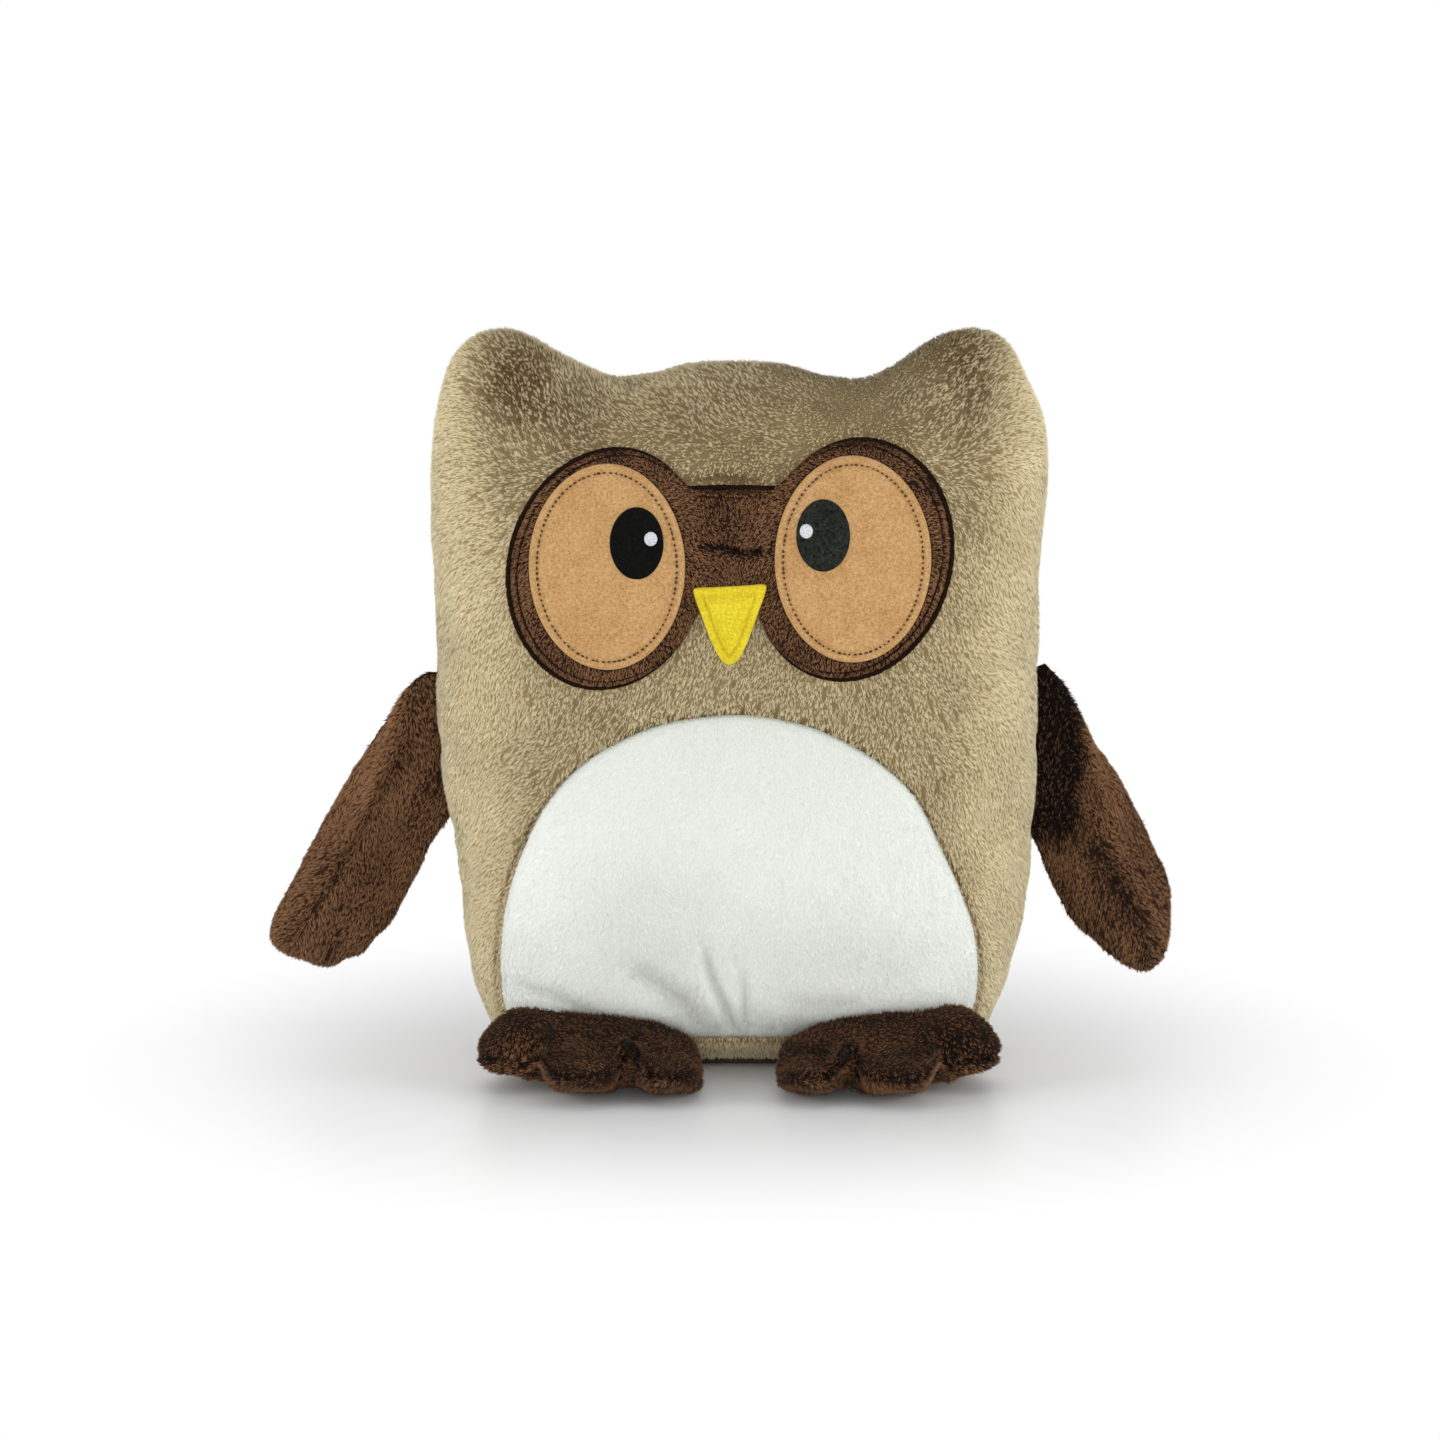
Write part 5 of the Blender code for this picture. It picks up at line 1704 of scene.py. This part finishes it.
@dataclass
class Wing(Limb):
    """A flat stuffed wing, sewn along its root to the body's side seam."""

    low: Vector
    high: Vector
    kind = "wing"
    parts = ("front", "back", "stuffing")
    slot = "brown_plush"
    grid = (160, 80)
    most = 2.0 * MM
    seeds = (51, 61)
    pile = Pile(length=2.3 * MM, spacing=0.54 * MM, width=0.5 * MM, clump=1.5 * MM, lie=0.42,
                gather=0.35, grain=0.45, unparted=1.9, sparkle=0.34, cloth_shadow=1.0)
    half_thickness: float = 8.5 * MM
    pinch_length: float = 26.0 * MM
    pinch_share: float = 0.36
    tuck: float = 5.0 * MM
    proud: float = 1.2 * MM
    centre: tuple = (123.0 * MM, 78.0 * MM)
    left_folds: tuple = (
        fold(((111, 108), (124, 85), (136, 62), (151, 40)), 1.7, 1.2),
        fold(((107, 112), (112, 98), (118, 84)), 2.4, 1.4),
        fold(((126, 60), (134, 50), (140, 40)), 3.5, 1.2))
    right_folds: tuple = (
        fold(((112, 88), (117, 78), (125, 64), (134, 50), (139, 36)), 1.7, 1.4),
        fold(((106, 122), (113, 108), (117, 96)), 2.2, 1.6),
        fold(((106, 92), (113, 92), (121, 88)), 2.4, 1.4))
    root_shares: tuple = (0.92, 0.3, -0.3, -0.85)
    left_knots_mm: tuple = (
        (108.0, 131.6), (114.2, 124.0), (121.8, 111.0), (128.9, 98.9), (136.2, 86.5), (142.7, 75.4),
        (147.8, 66.0), (152.2, 57.6), (157.0, 47.5), (158.3, 41.3), (155.0, 37.0), (150.5, 34.8),
        (146.4, 33.6), (142.0, 31.9), (138.0, 31.6), (132.8, 34.4), (128.2, 35.5), (122.5, 41.3),
        (117.1, 48.1), (111.5, 58.0), (107.0, 68.0), (103.5, 77.5))
    right_knots_mm: tuple = (
        (106.8, 134.2), (110.7, 128.6), (115.3, 118.4), (120.3, 107.0), (128.3, 95.0),
        (135.3, 81.9), (140.8, 70.5), (145.4, 59.0), (146.3, 51.5), (145.8, 42.0), (143.6, 34.2),
        (138.8, 30.2), (133.0, 31.0), (127.2, 34.4), (119.5, 40.5), (112.4, 47.7), (107.3, 57.0),
        (103.0, 67.9), (100.5, 77.0))

    def __post_init__(self) -> None:
        """Works out the outline from the two ends of the sewn root."""
        low, high = np.array([self.low.x, self.low.z]), np.array([self.high.x, self.high.z])
        root = (low + high) / 2
        knots = np.asarray(self.side.pick((self.left_knots_mm, self.right_knots_mm))) * MM
        sewn = [root + a * (high - root) for a in self.root_shares]
        points = closed_curve(np.vstack([sewn, knots[::-1]]), 12)
        proud = self.proud * unit(points - np.asarray(self.centre))
        self.outline = Outline(self.centre, points + proud)

    def folds(self) -> tuple[Crease, ...]:
        """This wing's soft folds; its pile parts along the first."""
        return self.side.pick((self.left_folds, self.right_folds))

    def from_root(self, places: Array) -> Array:
        """How far out from the sewn root places on the right wing lie."""
        root = np.interp(places[:, 2], (self.low.z, self.high.z), (self.low.x, self.high.x))
        return places[:, 0] - root

    def place(self, down: Array, turn: Array) -> Array:
        """The right wing's surface, front pole to back pole."""
        share = from_poles(down, 1.9)
        x, z = self.outline.at(share * self.outline.reach(turn), turn)
        places = np.column_stack([x, np.zeros_like(x), z])
        full = self.pinch_share + (1 - self.pinch_share) * smoothstep(
            0.0, self.pinch_length, self.from_root(places))
        thick = self.half_thickness * full * np.clip(1 - share**2.6, 0, 1) ** PILLOW_EDGE
        places[:, 1] = np.where(down <= 0.5, -1, 1) * thick
        return places

    def held(self, at: Array) -> Array:
        """How firmly the seam round the wing and its root hold the skin, 0 to 1."""
        return np.maximum(bell(at[:, 1], 1.2 * MM), fade(2 * MM, 14 * MM, self.from_root(at)))

    def tucked(self, places: Array) -> Array:
        """The plain form with the upper part of its root pushed into the side seam."""
        near = fade(0.0, 12 * MM, self.from_root(places))
        places[:, 0] -= self.tuck * near * smoothstep(70 * MM, 85 * MM, places[:, 2])
        return places

    def relief(self, places: Array, grip: Array) -> Array:
        """How far the cloth stands out from the plain form.

        Args:
            places: points of the plain form.
            grip: 0 at the sewn root to 1 away from it.

        Returns:
            A distance along the normal for each point.
        """
        x, y, z = places.T
        lumps = Ripple(0.6, 17, self.seed).at(places)
        lumps = lumps + Ripple(0.3, 7, self.seed + 1).at(places * (1.6, 1, 0.7))
        folds = sum(crease.press(x * self.side.sign, z) for crease in self.folds())
        return (lumps * grip - 0.4 * bell(y, 1.4 * MM) - 0.6) * MM - folds * (y < 0)

    def comb(self, places: Array, normals: Array) -> Array:
        """The pile lies down along the wing, and away to both sides from its parting."""
        x, z = np.abs(places[:, 0]), places[:, 2]
        knots = np.asarray(self.folds()[0].line)
        aside = x - np.interp(z, knots[::-1, 1], knots[::-1, 0])
        parted = 0.75 * np.tanh(aside / (2 * MM)) * bell(aside, 9 * MM)
        way = np.tile([0.45 * self.side.sign, 0.0, -1.0], (len(places), 1))
        angle = rippled((Ripple(0.3, 22, 25), Ripple(0.2, 6, 26)), places)
        facing = np.where(places[:, 1] < 0, 1.0, -1.0)
        return turned(way, normals, angle + facing * self.side.sign * parted)

    def dusk(self, places: Array) -> Array:
        """How dark the pile is painted. On the left wing painted shade is most by the body; on the
        right one it is more all over, as its pile lies away from the front, with a painted shadow
        nearly black by its root. Both are darker towards the bottom, with painted shade along the
        parting and painted light and shade in streaks along soft ridges."""
        x, z = np.abs(places[:, 0]), places[:, 2]
        root = self.from_root(np.column_stack([x, x, z]))
        parting = self.folds()[0].press(x, z) / self.folds()[0].depth
        # Painted light and shade in streaks along soft ridges.
        painted_ridges = Ripple(1.0, 4, 35).at(np.column_stack([0.9 * x + 0.44 * z, 0 * x, 0.12 * z]))
        # Painted shade by the body, and on the right wing a painted shadow near its root.
        if self.side is Side.LEFT:
            near = 0.25 * fade(2 * MM, 18 * MM, root) * smoothstep(60 * MM, 85 * MM, z)
            level = 0.11 + 0.1 * painted_ridges + 0.15 * fade(60 * MM, 95 * MM, z)
        else:
            ragged = root + 4 * MM * Ripple(1.0, 7, 36).at(places)
            near = fade(8 * MM, 17 * MM, ragged) * smoothstep(66 * MM, 84 * MM, z)
            level = 0.27 + 0.13 * painted_ridges + 0.1 * fade(60 * MM, 90 * MM, z)
        return np.clip(level + near + 0.2 * parting + Ripple(0.08, 12, 37).at(places), 0, 1)


@dataclass
class Foot(Limb):
    """A flat stuffed foot with three toes, sewn by its back edge under the belly."""

    inner: float
    outer: float
    kind = "foot"
    parts = ("upper", "sole", "stuffing")
    slot = "chocolate_plush"
    grid = (180, 84)
    most = 1.5 * MM
    seeds = (71, 81)
    pile = Pile(length=2.2 * MM, spacing=0.58 * MM, width=0.52 * MM, clump=1.7 * MM, lie=0.6,
                gather=0.8, ruffle=0.4, grain=1.2, sparkle=0.42)
    root: float = -29.1 * MM
    length: float = 53.0 * MM
    rim_height: float = 5.5 * MM
    heel_height: float = 26.2 * MM
    outer_drop: float = 2.2 * MM
    inner_drop: float = 5.5 * MM
    toe_height: float = 9.5 * MM
    toe_lift: float = 5.8 * MM
    front_lift: float = 5.5 * MM
    notch_lift: float = 7.0 * MM
    shares: tuple = (
        (0.10, 0.0), (0.03, 0.15), (0.0, 0.38), (0.0, 0.68), (0.045, 0.88), (0.13, 0.965),
        (0.25, 0.92), (0.32, 0.72), (0.40, 0.93), (0.535, 1.0), (0.65, 0.96), (0.72, 0.82),
        (0.735, 0.60), (0.86, 0.575), (0.965, 0.49), (1.0, 0.32), (0.95, 0.13), (0.85, 0.02),
        (0.72, 0.0), (0.40, 0.0))

    def __post_init__(self) -> None:
        """Works out the outline in the XY plane."""
        run = self.outer - self.inner
        knots = [(self.inner + a * run, self.root - b * self.length) for a, b in self.shares]
        centre = (self.inner + 0.46 * run, self.root - 0.45 * self.length)
        self.outline = Outline(centre, closed_curve(knots, 12))

    def from_root(self, places: Array) -> Array:
        """How far in front of the sewn back edge places lie."""
        return self.root - places[:, 1]

    def place(self, down: Array, turn: Array) -> Array:
        """The right foot's surface, top pole to sole pole."""
        share = from_poles(down, 1.9)
        x, y = self.outline.at(share * self.outline.reach(turn), turn)
        forward = (self.root - y) / self.length
        run = (x - self.inner) / (self.outer - self.inner)
        heel = self.heel_height - self.inner_drop * fade(0.0, 0.7, run)
        heel = heel - self.outer_drop * smoothstep(0.66, 0.9, run)
        height = self.toe_height + (heel - self.toe_height) * fade(0.1, 1.0, forward)
        height = height * (0.5 + 0.5 * smoothstep(0.0, 0.25, forward))
        full = np.clip(1 - share**4.5, 0, 1) ** PILLOW_EDGE
        sole = self.rim_height * np.clip(1 - share**9.0, 0, 1) ** PILLOW_EDGE
        z = self.seam_height(x, y) + np.where(
            down <= 0.5, (height - self.rim_height) * full, -sole)
        return np.column_stack([x, y, z])

    def held(self, at: Array) -> Array:
        """How firmly the seam round the foot, its root and the floor hold the skin, 0 to 1."""
        seam = bell(at[:, 2] - self.rim_height, 1.5 * MM)
        root = fade(2 * MM, 12 * MM, self.from_root(at))
        return np.maximum.reduce([seam, root, (at[:, 2] < 2 * MM) * 1.0])

    def seam_height(self, x: Array, y: Array) -> Array:
        """How high the seam between upper and sole is: it lifts at the toes and their notches."""
        forward = (self.root - y) / self.length
        run = (np.abs(x) - self.inner) / (self.outer - self.inner)
        notch = bell(run - 0.32, 0.055) * smoothstep(0.4, 0.75, forward)
        notch = notch + bell(run - 0.72, 0.05) * smoothstep(0.3, 0.6, forward)
        outer = smoothstep(0.64, 0.86, run) * smoothstep(0.0, 0.35, forward)
        lift = np.maximum(self.toe_lift * outer, self.notch_lift * notch)
        return self.rim_height + lift + self.front_lift * smoothstep(0.5, 1.0, forward)

    def above_seam(self, places: Array) -> Array:
        """How far above the seam between upper and sole places lie."""
        return places[:, 2] - self.seam_height(places[:, 0], places[:, 1])

    def relief(self, places: Array, grip: Array) -> Array:
        """How far the cloth stands out from the plain form.

        Args:
            places: points of the plain form.
            grip: 0 at the sewn back edge to 1 away from it.

        Returns:
            A distance along the normal for each point.
        """
        edge = bell(self.above_seam(places), 1.1 * MM)
        lumps = rippled((Ripple(0.7, 14, self.seed), Ripple(0.5, 7, self.seed + 1)), places)
        return (lumps * grip - 1.3 * edge - 0.7) * MM - self.toe_grooves(places)

    def under(self, places: Array) -> Array:
        """0 on the upper, 1 on the band of sole that curves up to the seam."""
        return fade(-1.6 * MM, -0.2 * MM, self.above_seam(places))

    def dusk(self, places: Array) -> Array:
        """How dark the pile is painted: in patches, with painted shade most in the seam's groove,
        and least on the sole's band.
        """
        seam = bell(self.above_seam(places), 0.8 * MM)
        level = 0.29 + Ripple(0.16, 9, 38).at(places) + 0.25 * seam - 0.04 * self.under(places)
        return np.clip(level, 0, 1)

    def toe_grooves(self, places: Array) -> Array:
        """How deep the folds between the toes are, on the upper."""
        run = self.outer - self.inner
        x = np.abs(places[:, 0])
        folds = 0.0
        for at, back in ((0.32, 0.45), (0.725, 0.38)):
            line = ((self.inner + at * run, -self.root + 0.9 * self.length),
                    (self.inner + (at - 0.02) * run, -self.root + back * self.length))
            folds = folds + Crease(line, 2.0 * MM, 3.2 * MM).press(x, -places[:, 1])
        return folds * smoothstep(-3 * MM, 1 * MM, self.above_seam(places))

    def comb(self, places: Array, normals: Array) -> Array:
        """The pile lies forwards and down over the toes, and sideways on the sole's band."""
        way = np.tile([0.25 * self.side.sign, -1.0, -0.35], (len(places), 1))
        way = way + self.under(places)[:, None] * np.array([1.8 * self.side.sign, 0.5, -0.2])
        angle = rippled((Ripple(0.8, 16, 27), Ripple(0.5, 6, 28)), places)
        return turned(way, normals, angle)


# The studio


@dataclass(frozen=True)
class Studio:
    """A pale floor that runs out to white, soft lamps, and the camera of the photograph."""

    elevation_deg: float = 9.0
    distance: float = 1.6
    target: tuple[float, float, float] = (-6.23 * MM, 0.0, 115.3 * MM)
    view_width: float = 485.3 * MM
    floor_colour: str = "#F4F5F6"

    def build(self) -> None:
        """Makes the floor, the world, the lamps and the camera."""
        self.build_floor()
        self.build_world()
        self.lamp("left_softbox", (-1.5, -0.6, 0.45), 1.2, 13.8)
        self.lamp("right_softbox", (1.5, -0.6, 0.45), 1.2, 15.0)
        self.lamp("front_softbox", (0.0, -1.5, 1.45), 1.2, 0.5)
        self.lamp("low_softbox", (0.0, -1.7, 0.10), 0.9, 14.2)
        self.lamp("top_softbox", (0.0, 0.35, 1.7), 1.5, 6.1)
        self.build_camera()
        bpy.context.scene.view_settings.view_transform = "Standard"

    def build_floor(self) -> None:
        """A wide disc, pale near the owl and white towards the backdrop."""
        bm = bmesh.new()
        bmesh.ops.create_circle(bm, cap_ends=True, segments=96, radius=12.0)
        mesh = bpy.data.meshes.new("floor")
        bm.to_mesh(mesh)
        bm.free()
        floor = bpy.data.objects.new("floor", mesh)
        bpy.context.scene.collection.objects.link(floor)
        material, tree, place = Finish("matte_white_studio_floor").start()
        shader = tree.nodes["Principled BSDF"]
        shader.inputs["Base Color"].default_value = linear(self.floor_colour)
        shader.inputs["Roughness"].default_value = 0.35
        away = add_node(tree, "ShaderNodeVectorMath", {"0": place}, operation="LENGTH")
        far = add_node(tree, "ShaderNodeMapRange", {"Value": away.outputs["Value"]},
                       interpolation_type="SMOOTHSTEP", From_Min=0.10, From_Max=0.235)
        seen = add_node(tree, "ShaderNodeLightPath").outputs["Is Camera Ray"]
        share = add_node(tree, "ShaderNodeMath", {"0": far.outputs["Result"], "1": seen},
                         operation="MULTIPLY").outputs[0]
        white = add_node(tree, "ShaderNodeEmission", Strength=1.0)
        mixed = add_node(tree, "ShaderNodeMixShader", {
            "0": share, "1": shader.outputs["BSDF"], "2": white.outputs["Emission"]})
        tree.links.new(mixed.outputs[0], tree.nodes["Material Output"].inputs["Surface"])
        mesh.materials.append(material)
        floor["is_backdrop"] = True

    def build_world(self) -> None:
        """White where it is seen, and a gentler light on the owl."""
        world = bpy.data.worlds.new("studio")
        bpy.context.scene.world = world
        world.use_nodes = True
        tree = world.node_tree
        path = add_node(tree, "ShaderNodeLightPath").outputs
        seen = path["Is Camera Ray"]
        for ray in ("Is Glossy Ray", "Is Transmission Ray"):
            seen = add_node(tree, "ShaderNodeMath", {"0": seen, "1": path[ray]},
                            operation="MAXIMUM").outputs[0]
        level = add_node(tree, "ShaderNodeMapRange", {"Value": seen}, To_Min=0.42, To_Max=1.0)
        tree.links.new(level.outputs["Result"], tree.nodes["Background"].inputs["Strength"])
        tree.nodes["Background"].inputs["Color"].default_value = (1.0, 1.0, 1.0, 1.0)

    def lamp(self, name: str, at: tuple[float, float, float], size: float, power: float) -> None:
        """A square softbox that points at the owl.

        Args:
            name: its name.
            at: where it stands.
            size: the length of its side.
            power: its power in watts.
        """
        light = bpy.data.lights.new(name, "AREA")
        light.size, light.energy = size, power
        made = bpy.data.objects.new(name, light)
        made.location = at
        made.rotation_euler = (Vector(self.target) - Vector(at)).to_track_quat("-Z", "Y").to_euler()
        made.visible_camera = False
        bpy.context.scene.collection.objects.link(made)

    def build_camera(self) -> None:
        """The camera, a little above the owl and straight in front of it."""
        data = bpy.data.cameras.new("camera")
        data.sensor_width = 36.0
        data.lens = 36.0 * self.distance / self.view_width
        camera = bpy.data.objects.new("camera", data)
        lift = np.radians(self.elevation_deg)
        back = Vector((0.0, -np.cos(lift), np.sin(lift))) * self.distance
        camera.location = Vector(self.target) + back
        camera.rotation_euler = (-back).to_track_quat("-Z", "Y").to_euler()
        bpy.context.scene.collection.objects.link(camera)
        bpy.context.scene.camera = camera


def corners(bounds: Sequence[Sequence[float]]) -> list[list[float]]:
    """A box as plain lists."""
    return [[float(c) for c in corner] for corner in bounds]


def main() -> None:
    """Builds the owl's looks round the frame, in order."""
    logging.basicConfig(level=logging.INFO, format="%(message)s", stream=sys.stdout)
    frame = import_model()
    cad = corners(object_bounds())
    wardrobe = Wardrobe()
    Studio().build()
    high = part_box("back_panel")[1]
    body = Body(height=high.z, half_width=high.x, wardrobe=wardrobe)
    face = Face(body, wardrobe)
    body.build(face)
    face.build()
    frame["nodes"]["base_panel"].data.materials.clear()
    frame["nodes"]["base_panel"].data.materials.append(wardrobe.base.material())
    wing_cloth, foot_cloth = wardrobe.wing.material(), wardrobe.foot.material()
    low_end, high_end = body.wing_root()
    inner, outer = 0.1167 * body.half_width, 0.8414 * body.half_width
    for side in Side:
        Wing(side, low_end, high_end).build(wing_cloth)
        Foot(side, inner, outer).build(foot_cloth)
    {"cad": cad, "visual": corners(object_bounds())}


if __name__ == "__main__":
    main()
